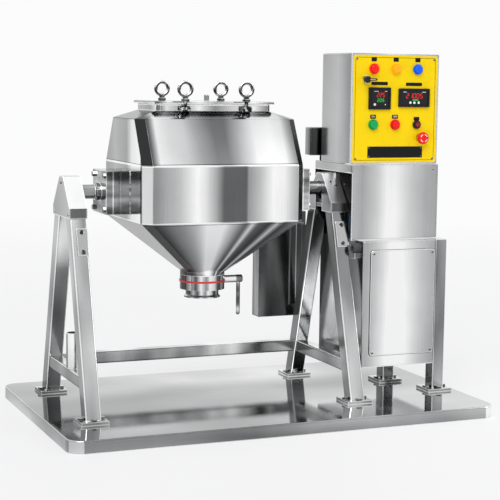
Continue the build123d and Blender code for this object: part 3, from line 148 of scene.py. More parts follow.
class Shading:
    """A shader node tree, with one method that makes any node."""

    def __init__(self, owner):
        owner.use_nodes = True
        self.tree = owner.node_tree
        self.tree.nodes.clear()

    def node(self, kind, settings, *values, out=0, **named):
        """Makes a node, sets it and feeds it. Returns one output, or the node if it has none."""
        made = self.tree.nodes.new(kind)
        for name, setting in settings.items():
            if name == "stops":
                self._stops(made.color_ramp, setting)
            else:
                setattr(made, name, setting)
        for index, value in enumerate(values):
            self.feed(made.inputs[index], value)
        for name, value in named.items():
            self.feed(made.inputs[name.replace("_", " ")], value)
        return Value(self, made.outputs[out]) if len(made.outputs) else made

    def _stops(self, ramp, stops):
        while len(ramp.elements) < len(stops):
            ramp.elements.new(0.5)
        for element, (place, colour) in zip(ramp.elements, stops):
            element.position = place
            element.color = colour if len(colour) == 4 else (*colour, 1.0)

    def feed(self, socket, value):
        """Links a value to a socket, or sets the socket to a plain number or colour."""
        if isinstance(value, Value):
            self.tree.links.new(value.socket, socket)
        elif value is not None:
            plain_colour = isinstance(value, tuple) and len(value) == 3 and socket.type == "RGBA"
            socket.default_value = (*value, 1.0) if plain_colour else value

    def seen_directly(self):
        """1 for rays from the camera, a mirror or glass, and 0 for rays that carry light."""
        rays = self.node("ShaderNodeLightPath", {}).socket.node.outputs
        camera, mirror, glass = (
            Value(self, rays[f"Is {kind} Ray"]) for kind in ("Camera", "Glossy", "Transmission")
        )
        return (camera + mirror + glass).clamp()


class Finish(Shading):
    """One material, with its shader and the patterns that feed it."""

    def __init__(self, name):
        self.material = bpy.data.materials.new(name)
        super().__init__(self.material)
        self.shader = self.node("ShaderNodeBsdfPrincipled", {})
        self.end = self.node("ShaderNodeOutputMaterial", {}, self.shader)

    def set(self, **inputs):
        """Sets the shader's own sockets, by links or by plain values."""
        for name, value in inputs.items():
            self.feed(self.shader.socket.node.inputs[name.replace("_", " ")], value)

    def place(self):
        """Object coordinates, in metres."""
        return self.node("ShaderNodeTexCoord", {}, out=3)

    def stretched(self, scale):
        """Object coordinates scaled by a different amount each way."""
        return self.node("ShaderNodeMapping", {}, self.place(), Scale=scale)

    def noise(self, vector, scale, detail, roughness):
        """Soft noise between 0 and 1."""
        return self.node(
            "ShaderNodeTexNoise", {}, Vector=vector, Scale=scale, Detail=detail, Roughness=roughness
        )

    def streaks(self, scale):
        """Soft streaks above and below 0. scale is smallest along the streaks."""
        return self.noise(self.stretched(scale), 1.0, 1.0, 0.4) - 0.5

    def ramp(self, value, *stops):
        """A colour read from a value along the stops given."""
        return self.node("ShaderNodeValToRGB", {"stops": stops}, value)

    def shade(self, value, stops):
        """A grey tone read from a value along stops of place and tone."""
        return self.ramp(value, *[(place, (tone, tone, tone)) for place, tone in stops])

    def parts(self, vector):
        """The three parts of a vector."""
        outputs = self.node("ShaderNodeSeparateXYZ", {}, vector).socket.node.outputs
        return [Value(self, output) for output in outputs]

    def axes(self):
        """The three parts of the object coordinates."""
        return self.parts(self.place())

    def flat_normal(self):
        """The direction that each flat face looks in."""
        return self.node("ShaderNodeNewGeometry", {}, out=3)

    def facing(self):
        """Which way the surface looks, as three parts."""
        return self.parts(self.flat_normal())

    def outline(self, radius):
        """Painted highlight above 0 on folds and edges, and painted shade below 0 just beside them,
        found by rounding the surface.
        """
        rounded = self.node("ShaderNodeBevel", {"samples": 8}, radius)
        compare = {"operation": "DOT_PRODUCT"}
        likeness = self.node("ShaderNodeVectorMath", compare, rounded, self.flat_normal(), out=1)
        return self.shade((1 - likeness) * FULL_BEND, EDGE_LIGHT_STOPS) - MIDDLE_TONE

    def bump(self, height, strength, distance):
        """A normal raised by a height."""
        return self.node("ShaderNodeBump", {}, Strength=strength, Distance=distance, Height=height)


def grey(level, tint):
    """A grey with a little blue in it."""
    return (level * (1 - tint), level * (1 - tint / 3), level, 1.0)


# Painted reflection tones on the vessel, each at its place from the left edge at 0 to the right edge at
# 1
BAND_STOPS = (
    (0.07, 0.56), (0.12, 0.66), (0.2, 0.74), (0.27, 0.9), (0.32, 1.0), (0.37, 0.9), (0.44, 0.64),
    (0.485, 0.36), (0.62, 0.36), (0.634, 0.6), (0.7, 0.74), (0.79, 0.98), (0.86, 0.95), (0.94, 0.7),
)
SHOULDER_STOPS = (
    (0.05, 0.3), (0.1, 0.95), (0.18, 0.86), (0.27, 0.8), (0.36, 0.62), (0.45, 0.47), (0.52, 0.47),
    (0.6, 0.68), (0.7, 0.9), (0.8, 0.93), (0.88, 0.88), (0.94, 0.55),
)
HOPPER_STOPS = (
    (0.06, 0.15), (0.14, 0.42), (0.28, 0.68), (0.38, 1.0), (0.49, 1.0), (0.57, 0.66),
    (0.63, 0.3), (0.67, 0.9), (0.71, 0.3), (0.78, 0.16), (0.83, 0.85), (0.88, 0.2), (0.96, 0.5),
)
NECK_STOPS = (
    (0.14, 0.3), (0.2, 0.9), (0.3, 0.6), (0.4, 0.95), (0.5, 0.55), (0.6, 0.8), (0.75, 0.95), (0.84, 0.5)
)
# The same painted reflections on its two end faces, from the front at 0 to the rear at 1
END_STOPS = (
    (0.0, 0.95), (0.035, 0.9), (0.05, 0.08), (0.085, 0.1), (0.1, 0.98), (0.3, 0.9), (0.42, 0.55),
    (0.7, 0.66), (1.0, 0.5),
)
# Painted reflection tones on the corner facets, and painted shade that darkens the shoulder towards its
# top
BAND_CORNER_TONE = 0.86
SHOULDER_CORNER_TONE = 0.14
SHOULDER_PAINTED_SHADE_PER_METRE = 0.8
# Painted highlight along the band's folds, and painted shade just beyond them
FOLD_LIGHT = 0.35
FOLD_LIGHT_REACH = 3.2 * MM
FOLD_SHADOW = 0.3
FOLD_SHADOW_REACH = 6 * MM
HOPPER_MATT = 0.85


def vessel_painted_reflections(finish):
    """Painted reflections in bands in step with the vessel's levels: upright on the sides, fanned on the
    hopper.
    """
    x, y, z = finish.axes()
    across = (x - VESSEL_X) * (0.5 / HALF_WIDTH) + 0.5
    along = (y - AXIS_Y) * (0.5 / HALF_DEPTH) + 0.5
    rise = z - AXIS_Z
    foot_share = HOPPER_FOOT_HALF / HALF_WIDTH
    narrowing = (rise + BAND_HALF_HEIGHT) * ((1 - foot_share) / HOPPER_HEIGHT) + 1.0
    fan = (x - VESSEL_X) * (0.5 / HALF_WIDTH) / narrowing + 0.5

    low, high, top = rise < -BAND_HALF_HEIGHT, rise > BAND_HALF_HEIGHT, rise > NECK_BOTTOM
    band = finish.shade(across, BAND_STOPS)
    shoulder = finish.shade(across, SHOULDER_STOPS) - (rise - BAND_HALF_HEIGHT) * SHOULDER_PAINTED_SHADE_PER_METRE
    hopper = finish.shade(fan, HOPPER_STOPS)
    neck = finish.shade(across, NECK_STOPS)
    sides = band * (1 - low) * (1 - high) + shoulder * high * (1 - top) + hopper * low + neck * top

    sideways = abs(finish.facing()[0])
    is_end = (sideways > VESSEL_END_FACING) * (1 - low)
    is_between = (sideways > VESSEL_CORNER_FACING) * (sideways < VESSEL_END_FACING)
    is_corner = is_between * (1 - low) * (1 - top)
    end = finish.shade(along, END_STOPS)
    corner = high * SHOULDER_CORNER_TONE + (1 - high) * BAND_CORNER_TONE
    whole = sides * (1 - is_end) * (1 - is_corner) + end * is_end + corner * is_corner

    # Painted highlight on the folds, and painted shade just beyond them on the shoulder and hopper
    height = abs(rise)
    from_fold = abs(height - BAND_HALF_HEIGHT)
    lit = from_fold < FOLD_LIGHT_REACH
    shaded = (from_fold < FOLD_SHADOW_REACH) * (1 - lit) * (height > BAND_HALF_HEIGHT)
    return whole + lit * FOLD_LIGHT - shaded * FOLD_SHADOW


def hopper_metallic(finish):
    """Less mirror-like below the band, where the sheet is ground and looks down at the tray."""
    rise = finish.axes()[2] - AXIS_Z
    return 1 - (rise < -BAND_HALF_HEIGHT) * HOPPER_MATT


def streak_tone(scale, contrast=2.4, level=0.62):
    """Long soft streaks. scale is the noise scale along X, Y and Z, smallest along the piece."""

    def tone(finish):
        streaks = finish.noise(finish.stretched(scale), 1.0, 1.5, 0.45)
        return (streaks - 0.5) * contrast + level

    return tone


# Painted reflection and shade tones of the cabinet's sheet: across its front from the left, and along
# its sides from the front
SHEET_FRONT_STOPS = (
    (0.0, 0.7), (0.12, 0.65), (0.28, 0.83), (0.4, 1.0), (0.5, 1.0), (0.66, 0.84), (0.86, 0.68),
    (1.0, 0.64),
)
SHEET_SIDE_STOPS = ((0.0, 0.54), (0.35, 0.72), (0.7, 0.7), (1.0, 0.78))
# Painted light: tops are one lighter tone
SHEET_TOP_PAINTED_LIGHT = 0.88


def sheet_painted_reflections(finish):
    """A painted reflection of a bright upright band on faces that look forwards, and painted shade on
    sides, darker towards the front.
    """
    x, y, _ = finish.axes()
    low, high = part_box("drive_housing")
    across = (x - low.x) * (1 / (high.x - low.x))
    inwards = (y - low.y) * (1 / (high.y - low.y))
    front = finish.shade(across, SHEET_FRONT_STOPS)
    side = finish.shade(inwards, SHEET_SIDE_STOPS)
    sideways, _, upwards = finish.facing()
    is_side, is_up = abs(sideways) > SIDE_FACING, upwards > UP_FACING
    level = front * (1 - is_side) * (1 - is_up) + side * is_side + is_up * SHEET_TOP_PAINTED_LIGHT
    return level + finish.streaks((3, 3, 1.2)) * 0.3


# Painted reflection tones of small polished pieces, from faces that look down at 0 to faces that look up
# at 1
CHROME_STOPS = ((0.0, 0.35), (0.2, 0.6), (0.36, 0.12), (0.5, 0.3), (0.58, 0.85), (0.8, 1.0), (1.0, 0.9))
# Painted reflection tones round a turned piece, from faces that look left at 0 to faces that look right
# at 1
TURNED_STOPS = (
    (0.0, 0.15), (0.12, 0.8), (0.2, 0.25), (0.3, 0.95), (0.42, 0.55), (0.5, 0.97), (0.62, 0.8),
    (0.7, 0.2), (0.8, 0.9), (0.92, 0.35), (1.0, 0.12),
)
# Painted light: a turned piece's flat ends get one lighter tone
TURNED_TOP_PAINTED_LIGHT = 0.8


def chrome_painted_reflections(finish):
    """Painted reflections: bright above, dark at the sides and mid grey below, as small polished pieces
    show.
    """
    upwards = finish.facing()[2] * 0.5 + 0.5
    return finish.shade(upwards, CHROME_STOPS) + finish.streaks((90, 90, 90)) * 0.8


def turned_painted_reflections(finish):
    """Painted reflections in upright bands round a turned piece, as it would mirror dark and bright
    things beside it.
    """
    sideways, _, upwards = finish.facing()
    bands = finish.shade(sideways * 0.5 + 0.5, TURNED_STOPS)
    is_flat = abs(upwards) > TURNED_TOP_FACING
    return bands * (1 - is_flat) + is_flat * TURNED_TOP_PAINTED_LIGHT


def facing_painted_light(side, front, up, scale, contrast, slope=None):
    """Painted light: a tone for each way that a face looks, and a painted highlight on rounded corners,
    with soft streaks.
    """

    def tone(finish):
        sideways, _, upwards = finish.facing()
        sideways = abs(sideways)
        is_side, is_up = sideways > SIDE_FACING, upwards > UP_FACING
        is_slope = (upwards > SLOPE_FACING) * (1 - is_up)
        is_front = (1 - is_side) * (1 - is_up) * (1 - is_slope)
        # Painted light and shade: each way that a face looks gets its own tone
        level = is_side * side + is_up * up + is_front * front + is_slope * (slope or front)
        is_rounded = (sideways > ROUNDING_FACING) * (sideways < SIDE_FACING)
        # Painted highlight on rounded corners
        return level + is_rounded * 0.28 + finish.streaks(scale) * contrast

    return tone


def steel(name, brush, tone, high=0.93, rough=0.13, grain=0.08, metallic=None, line=BROAD_EDGE_LIGHT):
    """Polished stainless steel: tone bands, mostly painted reflections, fine brush lines, faint patches,
    and painted highlight and shade lines along edges.

    Tones are as the eye sees them, so the ramp turns each into the amount of light that it
    stands for, up to high. line is the width of the painted highlight and shade lines along edges.
    """
    finish = Finish(name)
    brushed = finish.noise(finish.stretched(brush), 1.0, 3.0, 0.6) - 0.5
    patches = finish.noise(finish.place(), 9.0, 2.0, 0.5) - 0.5
    # Painted reflections and shade from the tone, and painted highlight and shade lines along edges, go
    # into the base colour
    mixed = tone(finish) + brushed * grain + patches * 0.08 + finish.outline(line)
    stops = []
    for share in TONE_STEPS:
        light = DARKEST_STEEL + (high - DARKEST_STEEL) * share**EYE_POWER
        stops.append((share, grey(light, STEEL_TINT * (1 - share))))
    finish.set(
        Base_Color=finish.ramp(mixed.clamp(), *stops),
        Metallic=metallic(finish) if metallic else 1.0,
        Roughness=brushed * 0.1 + patches * 0.08 + rough,
        Normal=finish.bump(brushed, 0.08, 0.3 * MM),
    )
    return finish.material


def paint(name, colour, rough=0.35, mottle=0.06, peel=0.1, shine=0.5):
    """Sprayed or moulded colour with a faint mottle and orange peel."""
    finish = Finish(name)
    patches = finish.noise(finish.place(), 14.0, 3.0, 0.55)
    grain = finish.noise(finish.place(), 900.0, 2.0, 0.5)
    dark = tuple(c * (1 - mottle * 1.6) for c in colour)
    light = tuple(min(c * (1 + mottle), 1.0) for c in colour)
    finish.set(
        Base_Color=finish.ramp(patches, (0.3, dark), (0.7, light)),
        Roughness=(patches - 0.5) * 0.14 + rough,
        Specular_IOR_Level=shine,
        Normal=finish.bump(grain, peel, 0.3 * MM),
    )
    return finish.material


def lit_plastic(name, colour, glow=0.35):
    """Coloured lens or lit figure, moulded in small cells that are brightest in their middles."""
    finish = Finish(name)
    cells = finish.node("ShaderNodeTexVoronoi", {}, Vector=finish.place(), Scale=420.0)
    patches = finish.noise(finish.place(), 60.0, 2.0, 0.5)
    dark = tuple(c * 0.55 for c in colour)
    finish.set(
        Base_Color=finish.ramp(cells * 0.7 + patches * 0.3, (0.1, dark), (0.65, colour)),
        Roughness=patches * 0.12 + 0.08,
        Emission_Color=finish.ramp(cells, (0.0, colour), (0.7, dark)),
        Emission_Strength=glow,
        Specular_IOR_Level=0.3,
        Normal=finish.bump(cells, 0.25, 0.5 * MM),
    )
    return finish.material


finish_of = {
    "vessel_steel": steel(
        "vessel_steel", VERTICAL_BRUSH, vessel_painted_reflections, high=0.97, metallic=hopper_metallic
    ),
    "machined_steel": steel("machined_steel", DEPTH_BRUSH, streak_tone((5, 9, 26), 1.8, 0.46)),
    "bolt_steel": steel(
        "bolt_steel", VERTICAL_BRUSH, streak_tone((90, 90, 90), 4.0, 0.3), grain=0.2, line=FINE_EDGE_LIGHT
    ),
    "fasteners": steel("fastener_steel", VERTICAL_BRUSH, chrome_painted_reflections, line=FINE_EDGE_LIGHT),
    "valve_steel": steel("valve_steel", LENGTH_BRUSH, turned_painted_reflections, line=FINE_EDGE_LIGHT),
    "frame_steel": steel("frame_steel", VERTICAL_BRUSH, facing_painted_light(0.46, 0.67, 0.84, (9, 5, 3), 1.1)),
    "base_steel": steel(
        "base_steel", LENGTH_BRUSH, facing_painted_light(0.66, 0.6, 0.66, (1.6, 3, 10), 0.9), rough=0.055
    ),
    "sheet_steel": steel("sheet_steel", VERTICAL_BRUSH, sheet_painted_reflections, rough=0.17),
    "cover_steel": steel(
        "cover_steel", VERTICAL_BRUSH, facing_painted_light(0.66, 0.36, 0.84, (6, 3, 3), 0.4, 0.84), rough=0.3
    ),
    "castings": paint("casting_paint", (0.23, 0.26, 0.29), rough=0.45, peel=0.3),
    "motor_paint": paint("motor_paint", (0.18, 0.28, 0.38), rough=0.4),
    "box_grey": steel("box_steel", VERTICAL_BRUSH, streak_tone((12, 12, 1.5), 1.8, 0.36), rough=0.2),
    "gland": paint("gland_nylon", (0.05, 0.05, 0.055), rough=0.5),
    "white_silicone": paint("white_silicone", (0.82, 0.82, 0.8), rough=0.5, peel=0.2),
    "red_silicone": paint("red_silicone", (0.6, 0.02, 0.015), rough=0.45, peel=0.2),
    "yellow_plate": paint("panel_yellow", (0.9, 0.63, 0.004), rough=0.4, mottle=0.03, shine=0.12),
    "bezel_metal": steel(
        "bezel_metal", VERTICAL_BRUSH, streak_tone((90, 90, 60), 2.4, 0.75), line=FINE_EDGE_LIGHT
    ),
    "meter_black": paint("meter_black", (0.012, 0.012, 0.014), rough=0.32, mottle=0.1, shine=0.15),
    "lens_red": lit_plastic("lens_red", (0.85, 0.006, 0.004)),
    "lens_amber": lit_plastic("lens_amber", (0.95, 0.4, 0.0)),
    "lens_blue": lit_plastic("lens_blue", (0.0, 0.1, 0.75)),
    "cap_green": paint("cap_green", (0.0, 0.36, 0.08), rough=0.25, shine=0.3),
    "cap_red": paint("cap_red", (0.8, 0.008, 0.006), rough=0.25, shine=0.3),
    "cap_dark_red": paint("cap_dark_red", (0.26, 0.01, 0.04), rough=0.25, shine=0.3),
    "lever_black": paint("lever_black", (0.008, 0.008, 0.009), rough=0.28, shine=0.3),
    "weld_steel": steel(
        "weld_steel", EVEN_BRUSH, streak_tone((80, 80, 80), 2.0, 0.5), rough=0.3, line=FINE_EDGE_LIGHT
    ),
    # Flat black for painted shade in gaps between parts and in screw sockets
    "gap_and_socket_shade": paint("gap_and_socket_shade", (0.012, 0.012, 0.014), rough=0.6),
    "label_black": paint("label_black", (0.006, 0.006, 0.007), rough=0.3, shine=0.15),
    "label_white": paint("label_white", (0.85, 0.85, 0.84)),
    "key_white": paint("key_white", (0.85, 0.85, 0.84), rough=0.3),
    "line_dark": paint("line_dark", (0.05, 0.042, 0.01), rough=0.4, shine=0.2),
    "screen": paint("screen", (0.005, 0.005, 0.007), rough=0.12, shine=0.3),
    "digit_red": lit_plastic("digit_red", (1.0, 0.02, 0.015), glow=0.9),
    "digit_green": lit_plastic("digit_green", (0.02, 0.75, 0.1), glow=0.6),
}
slot_of = {p["node"]: p["material_slot"] for p in frame["record"]["subparts"]}
special_finish = {
    "left_stand_cover": "cover_steel",
    "right_stand_cover": "cover_steel",
    "coupling_guard": "cover_steel",
    "bolt_lugs": "bolt_steel",
    "valve_body": "valve_steel",
    **{f"swing_bolt_{number}": "bolt_steel" for number in range(1, 5)},
}
for node_name, node in frame["nodes"].items():
    node.data.materials.clear()
    node.data.materials.append(finish_of[special_finish.get(node_name, slot_of[node_name])])


# Mesh pieces. Their sizes are in mm, and their places on the machine in metres
CORNERS = ((-1, -1), (1, -1), (1, 1), (-1, 1))


def front_place(x, y, z):
    """Puts a flat piece on an upright face that looks towards the operator."""
    return Matrix(((1, 0, 0, x), (0, 0, -1, y), (0, 1, 0, z), (0, 0, 0, 1)))


def middle_of(node):
    """The middle of a node's box."""
    low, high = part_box(node)
    return (low + high) / 2


def linked(name, data):
    """A new object in the scene."""
    made = bpy.data.objects.new(name, data)
    bpy.context.scene.collection.objects.link(made)
    return made


def added_piece(name, mesh, body, finish):
    """Makes a finished mesh a piece that rides on a body."""
    mesh.materials.clear()
    mesh.materials.append(finish_of[finish])
    piece = linked(name, mesh)
    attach(piece, body)
    return piece


def piece_from(bm, name, place, body, finish):
    """Turns a bmesh into a finished piece that rides on a body."""
    bmesh.ops.recalc_face_normals(bm, faces=bm.faces)
    bm.transform(place)
    mesh = bpy.data.meshes.new(name)
    bm.to_mesh(mesh)
    bm.free()
    return added_piece(name, mesh, body, finish)


def rounded_corners(width, height, corner, steps=6):
    """Points of a rectangle with round corners, anticlockwise. Sizes are in metres."""
    points = []
    for turn, (i, j) in enumerate(((1, -1), (1, 1), (-1, 1), (-1, -1))):
        centre = Vector((i * (width / 2 - corner), j * (height / 2 - corner)))
        for step in range(steps + 1):
            angle = (turn - 1) * pi / 2 + step / steps * pi / 2
            points.append(centre + corner * Vector((cos(angle), sin(angle))))
    return points


def lathe_rings(bm, profile, sides):
    """A ring of points for each radius and height of a profile, about local Z."""
    turns = [2 * pi * i / sides for i in range(sides)]
    return [
        [bm.verts.new((radius * MM * cos(t), radius * MM * sin(t), height * MM)) for t in turns]
        for radius, height in profile
    ]


def join_rings(bm, rings, closed=False):
    """Faces from each ring of points to the next, and back to the first if closed."""
    for ring, following in zip(rings, rings[1:] + rings[:1] if closed else rings[1:]):
        for i in range(len(ring)):
            j = (i + 1) % len(ring)
            bm.faces.new((ring[i], ring[j], following[j], following[i]))


def plate(name, size, corner, place, body, finish, edge=0.3):
    """A plate with round corners and an eased front edge. size is width, height, thickness."""
    width, height, thickness = (v * MM for v in size)
    bm = bmesh.new()
    back = [bm.verts.new((*p, 0)) for p in rounded_corners(width, height, corner * MM)]
    face = bm.faces.new(back)
    made = bmesh.ops.extrude_face_region(bm, geom=[face])
    front = [v for v in made["geom"] if isinstance(v, bmesh.types.BMVert)]
    bmesh.ops.translate(bm, verts=front, vec=(0, 0, thickness))
    rim = [e for e in bm.edges if all(v in front for v in e.verts)]
    bmesh.ops.bevel(bm, geom=rim, offset=edge * MM, segments=2, affect="EDGES", profile=0.5)
    return piece_from(bm, name, place, body, finish)


def border(name, size, corner, line, place, body, finish):
    """A thin raised line round a rectangle. size is width, height, thickness."""
    width, height, thickness = (v * MM for v in size)
    bm = bmesh.new()
    outer = rounded_corners(width, height, corner * MM)
    inner_corner = max(corner - line, 0.2) * MM
    inner = rounded_corners(width - 2 * line * MM, height - 2 * line * MM, inner_corner)
    rings = [
        [bm.verts.new((*p, z)) for p in points]
        for points, z in ((outer, 0), (outer, thickness), (inner, thickness), (inner, 0))
    ]
    join_rings(bm, rings, closed=True)
    return piece_from(bm, name, place, body, finish)


def bars(name, boxes, depth, place, body, finish):
    """Several small flat bars as one piece. Each is across, up, width, height and slant."""
    bm = bmesh.new()
    for across, up, width, height, slant in boxes:
        low = []
        for i, j in CORNERS:
            level = up + j * height / 2
            low.append(bm.verts.new(((across + i * width / 2 + slant * level) * MM, level * MM, 0)))
        top = [bm.verts.new((v.co.x, v.co.y, depth * MM)) for v in low]
        bm.faces.new(low)
        bm.faces.new(top)
        join_rings(bm, [low, top])
    return piece_from(bm, name, place, body, finish)


def turned(name, profile, place, body, finish, sides=20):
    """A piece turned on a lathe about local Z. profile is radius and height."""
    bm = bmesh.new()
    rings = lathe_rings(bm, profile, sides)
    join_rings(bm, rings)
    bm.faces.new(rings[0])
    bm.faces.new(rings[-1])
    piece = piece_from(bm, name, place, body, finish)
    for polygon in piece.data.polygons:
        polygon.use_smooth = len(polygon.vertices) == 4
    return piece


def collar(name, inner, outer, height, place, body, finish, ease=0.6):
    """A flat ring with an eased outer edge, given by its radii and height."""
    bm = bmesh.new()
    profile = [(inner, 0), (outer, 0), (outer, height - ease), (outer - ease, height), (inner, height)]
    join_rings(bm, lathe_rings(bm, profile, sides=40), closed=True)
    return piece_from(bm, name, place, body, finish)


def arc_strips(name, inner, outer, spans, depth, place, body, slot, finish, steps=10):
    """Flat strips bent round a circle. spans are start and end angles, in degrees."""
    bm = bmesh.new()
    top = Vector((0, 0, depth * MM))
    for start, end in spans:
        rows = []
        for step in range(steps + 1):
            angle = radians(start + (end - start) * step / steps)
            turn = Vector((cos(angle), sin(angle), 0))
            near, far = turn * inner * MM, turn * outer * MM
            rows.append([bm.verts.new(p) for p in (near, far, far + top, near + top)])
        join_rings(bm, rows)
        bm.faces.new(rows[0])
        bm.faces.new(rows[-1])
    return piece_from(bm, name, place, body, finish)


def words(name, text, height, place, body, finish):
    """Plain lettering, centred on its place."""
    curve = bpy.data.curves.new(name, "FONT")
    curve.body = text
    curve.size = height * MM * 1.4
    curve.align_x = "CENTER"
    curve.align_y = "CENTER"
    curve.extrude = 0.08 * MM
    writing = linked(name + "_curve", curve)
    bpy.context.view_layer.update()
    mesh = bpy.data.meshes.new_from_object(writing.evaluated_get(bpy.context.evaluated_depsgraph_get()))
    bpy.data.objects.remove(writing)
    mesh.transform(place)
    return added_piece(name, mesh, body, finish)


# Repeated pieces, grown by geometry nodes
class Pattern:
    """A geometry node tree with named inputs."""

    def __init__(self, name, inputs):
        self.tree = bpy.data.node_groups.new(name, "GeometryNodeTree")
        self.tree.interface.new_socket("Geometry", in_out="INPUT", socket_type="NodeSocketGeometry")
        self.tree.interface.new_socket("Geometry", in_out="OUTPUT", socket_type="NodeSocketGeometry")
        self.identifiers = {}
        for label, kind in inputs.items():
            made = self.tree.interface.new_socket(label, in_out="INPUT", socket_type=kind)
            self.identifiers[label] = made.identifier
        self.start = self.tree.nodes.new("NodeGroupInput")
        self.end = self.tree.nodes.new("NodeGroupOutput")

    def given(self, label):
        """The output that carries one of the tree's named inputs."""
        return self.start.outputs[label]

    def node(self, kind, settings=None, out=0, **values):
        """Makes a node and returns one output. Inputs go by name, or by n and their number."""
        made = self.tree.nodes.new(kind)
        for name, setting in (settings or {}).items():
            setattr(made, name, setting)
        for name, value in values.items():
            numbered = name[0] == "n" and name[1:].isdigit()
            socket = made.inputs[int(name[1:]) if numbered else name.replace("_", " ")]
            if isinstance(value, bpy.types.NodeSocket):
                self.tree.links.new(value, socket)
            else:
                socket.default_value = value
        return made.outputs[out]

    def finish_with(self, geometry, material):
        """Ends the tree: real geometry, with its finish set."""
        real = self.node("GeometryNodeRealizeInstances", Geometry=geometry)
        coated = self.node("GeometryNodeSetMaterial", Geometry=real, Material=material)
        self.tree.links.new(coated, self.end.inputs[0])

    def grow(self, name, points, edges, values, body, slot):
        """Runs the tree on a set of points and keeps the result as a plain mesh."""
        mesh = bpy.data.meshes.new(name)
        mesh.from_pydata(points, edges, [])
        piece = linked(name, mesh)
        modifier = piece.modifiers.new("pattern", "NODES")
        modifier.node_group = self.tree
        for label, value in values.items():
            modifier[self.identifiers[label]] = value
        bpy.context.view_layer.update()
        grown = piece.evaluated_get(bpy.context.evaluated_depsgraph_get())
        result = bpy.data.meshes.new_from_object(grown)
        piece.modifiers.remove(modifier)
        piece.data = result
        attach(piece, body)


def stud_pattern():
    """Tapered heads set on points: screws with many sides, or, with six, dark discs of painted shade for
    their sockets.
    """
    pattern = Pattern(
        "studs",
        {
            "Sides": "NodeSocketInt",
            "Radius": "NodeSocketFloat",
            "Top Radius": "NodeSocketFloat",
            "Height": "NodeSocketFloat",
            "Turn": "NodeSocketVector",
            "Finish": "NodeSocketMaterial",
        },
    )
    head = pattern.node(
        "GeometryNodeMeshCone",
        Vertices=pattern.given("Sides"),
        Radius_Top=pattern.given("Top Radius"),
        Radius_Bottom=pattern.given("Radius"),
        Depth=pattern.given("Height"),
    )
    placed = pattern.node(
        "GeometryNodeInstanceOnPoints",
        Points=pattern.given("Geometry"),
        Instance=head,
        Rotation=pattern.given("Turn"),
    )
    pattern.finish_with(placed, pattern.given("Finish"))
    return pattern


def bead_pattern():
    """A rippled weld bead along edges."""
    pattern = Pattern(
        "weld_bead",
        {
            "Bead Radius": "NodeSocketFloat",
            "Spacing": "NodeSocketFloat",
            "Ripple": "NodeSocketFloat",
            "Finish": "NodeSocketMaterial",
        },
    )
    path = pattern.node("GeometryNodeMeshToCurve", Mesh=pattern.given("Geometry"))
    path = pattern.node(
        "GeometryNodeResampleCurve",
        {"mode": "LENGTH"},
        Curve=path,
        Length=pattern.given("Spacing"),
    )
    narrowest, widest = 0.75, 1.15
    wave = pattern.node(
        "FunctionNodeRandomValue", {"data_type": "FLOAT"}, out=1, n2=narrowest, n3=widest, Seed=7
    )
    ripple = pattern.node(
        "ShaderNodeMath", {"operation": "MULTIPLY"}, n0=wave, n1=pattern.given("Ripple")
    )
    path = pattern.node("GeometryNodeSetCurveRadius", Curve=path, Radius=ripple)
    profile = pattern.node(
        "GeometryNodeCurvePrimitiveCircle",
        {"mode": "RADIUS"},
        Resolution=6,
        Radius=pattern.given("Bead Radius"),
    )
    bead = pattern.node("GeometryNodeCurveToMesh", Curve=path, n1=profile)
    pattern.finish_with(bead, pattern.given("Finish"))
    return pattern


STUDS = stud_pattern()
BEADS = bead_pattern()


# Screw heads by radius and height, hexagon sockets (dark discs of painted shade) by their share of the
# head, and beads by radius
PANEL_SCREW = (4.2, 2.2)
NAME_PLATE_SCREW = (2.2, 1.0)
CABINET_SCREW = (4.5, 2.4)
LEFT_COVER_SCREW = (4.0, 2.0)
RIGHT_COVER_SCREW = (4.2, 1.6)
GUARD_SCREW = (4.6, 2.0)
HOUSING_SCREW = (3.5, 1.8)
LEG_PLATE_SCREW = (7.5, 2.8)
HEAD_TOP_SHARE = 0.72
NARROW_SOCKET = 0.45
WIDE_SOCKET = 0.6
SOCKET_RISE = 0.15
HUB_BEAD = 2.6
FOOT_BEAD = 2.4
SOCKET_BEAD = 2.0


def screws(name, places, facing, head, body, finish="fasteners", socket=NARROW_SOCKET):
    """Button-head screws on points given in metres."""
    radius, height = head
    turn = list(Vector(facing).to_track_quat("Z", "Y").to_euler())
    hole = radius * socket
    for part, sides, foot, top, rise, coat in (
        ("heads", 18, radius, radius * HEAD_TOP_SHARE, height, finish),
        # Dark hexagon discs of painted shade stand for the sockets' recesses
        ("sockets", 6, hole, hole, height + SOCKET_RISE, "gap_and_socket_shade"),
    ):
        values = {
            "Sides": sides,
            "Radius": foot * MM,
            "Top Radius": top * MM,
            "Height": rise * MM,
            "Turn": turn,
            "Finish": finish_of[coat],
        }
        STUDS.grow(f"{name}_{part}", places, [], values, body, "fasteners")


def weld(name, path, body, slot, radius, closed=True):
    """A weld bead along a path of points in metres."""
    edges = [(i, i + 1) for i in range(len(path) - 1)]
    if closed:
        edges.append((len(path) - 1, 0))
    values = {
        "Bead Radius": radius * MM,
        "Spacing": radius * 2.2 * MM,
        "Ripple": 1.0,
        "Finish": finish_of["weld_steel"],
    }
    BEADS.grow(name, path, edges, values, body, slot)


def corner_spots(x, y, z, reach_x, reach_z):
    """Four places on an upright face, so many mm to each side of a middle and above and below it."""
    return [(x + i * reach_x * MM, y, z + j * reach_z * MM) for i in (-1, 1) for j in (-1, 1)]


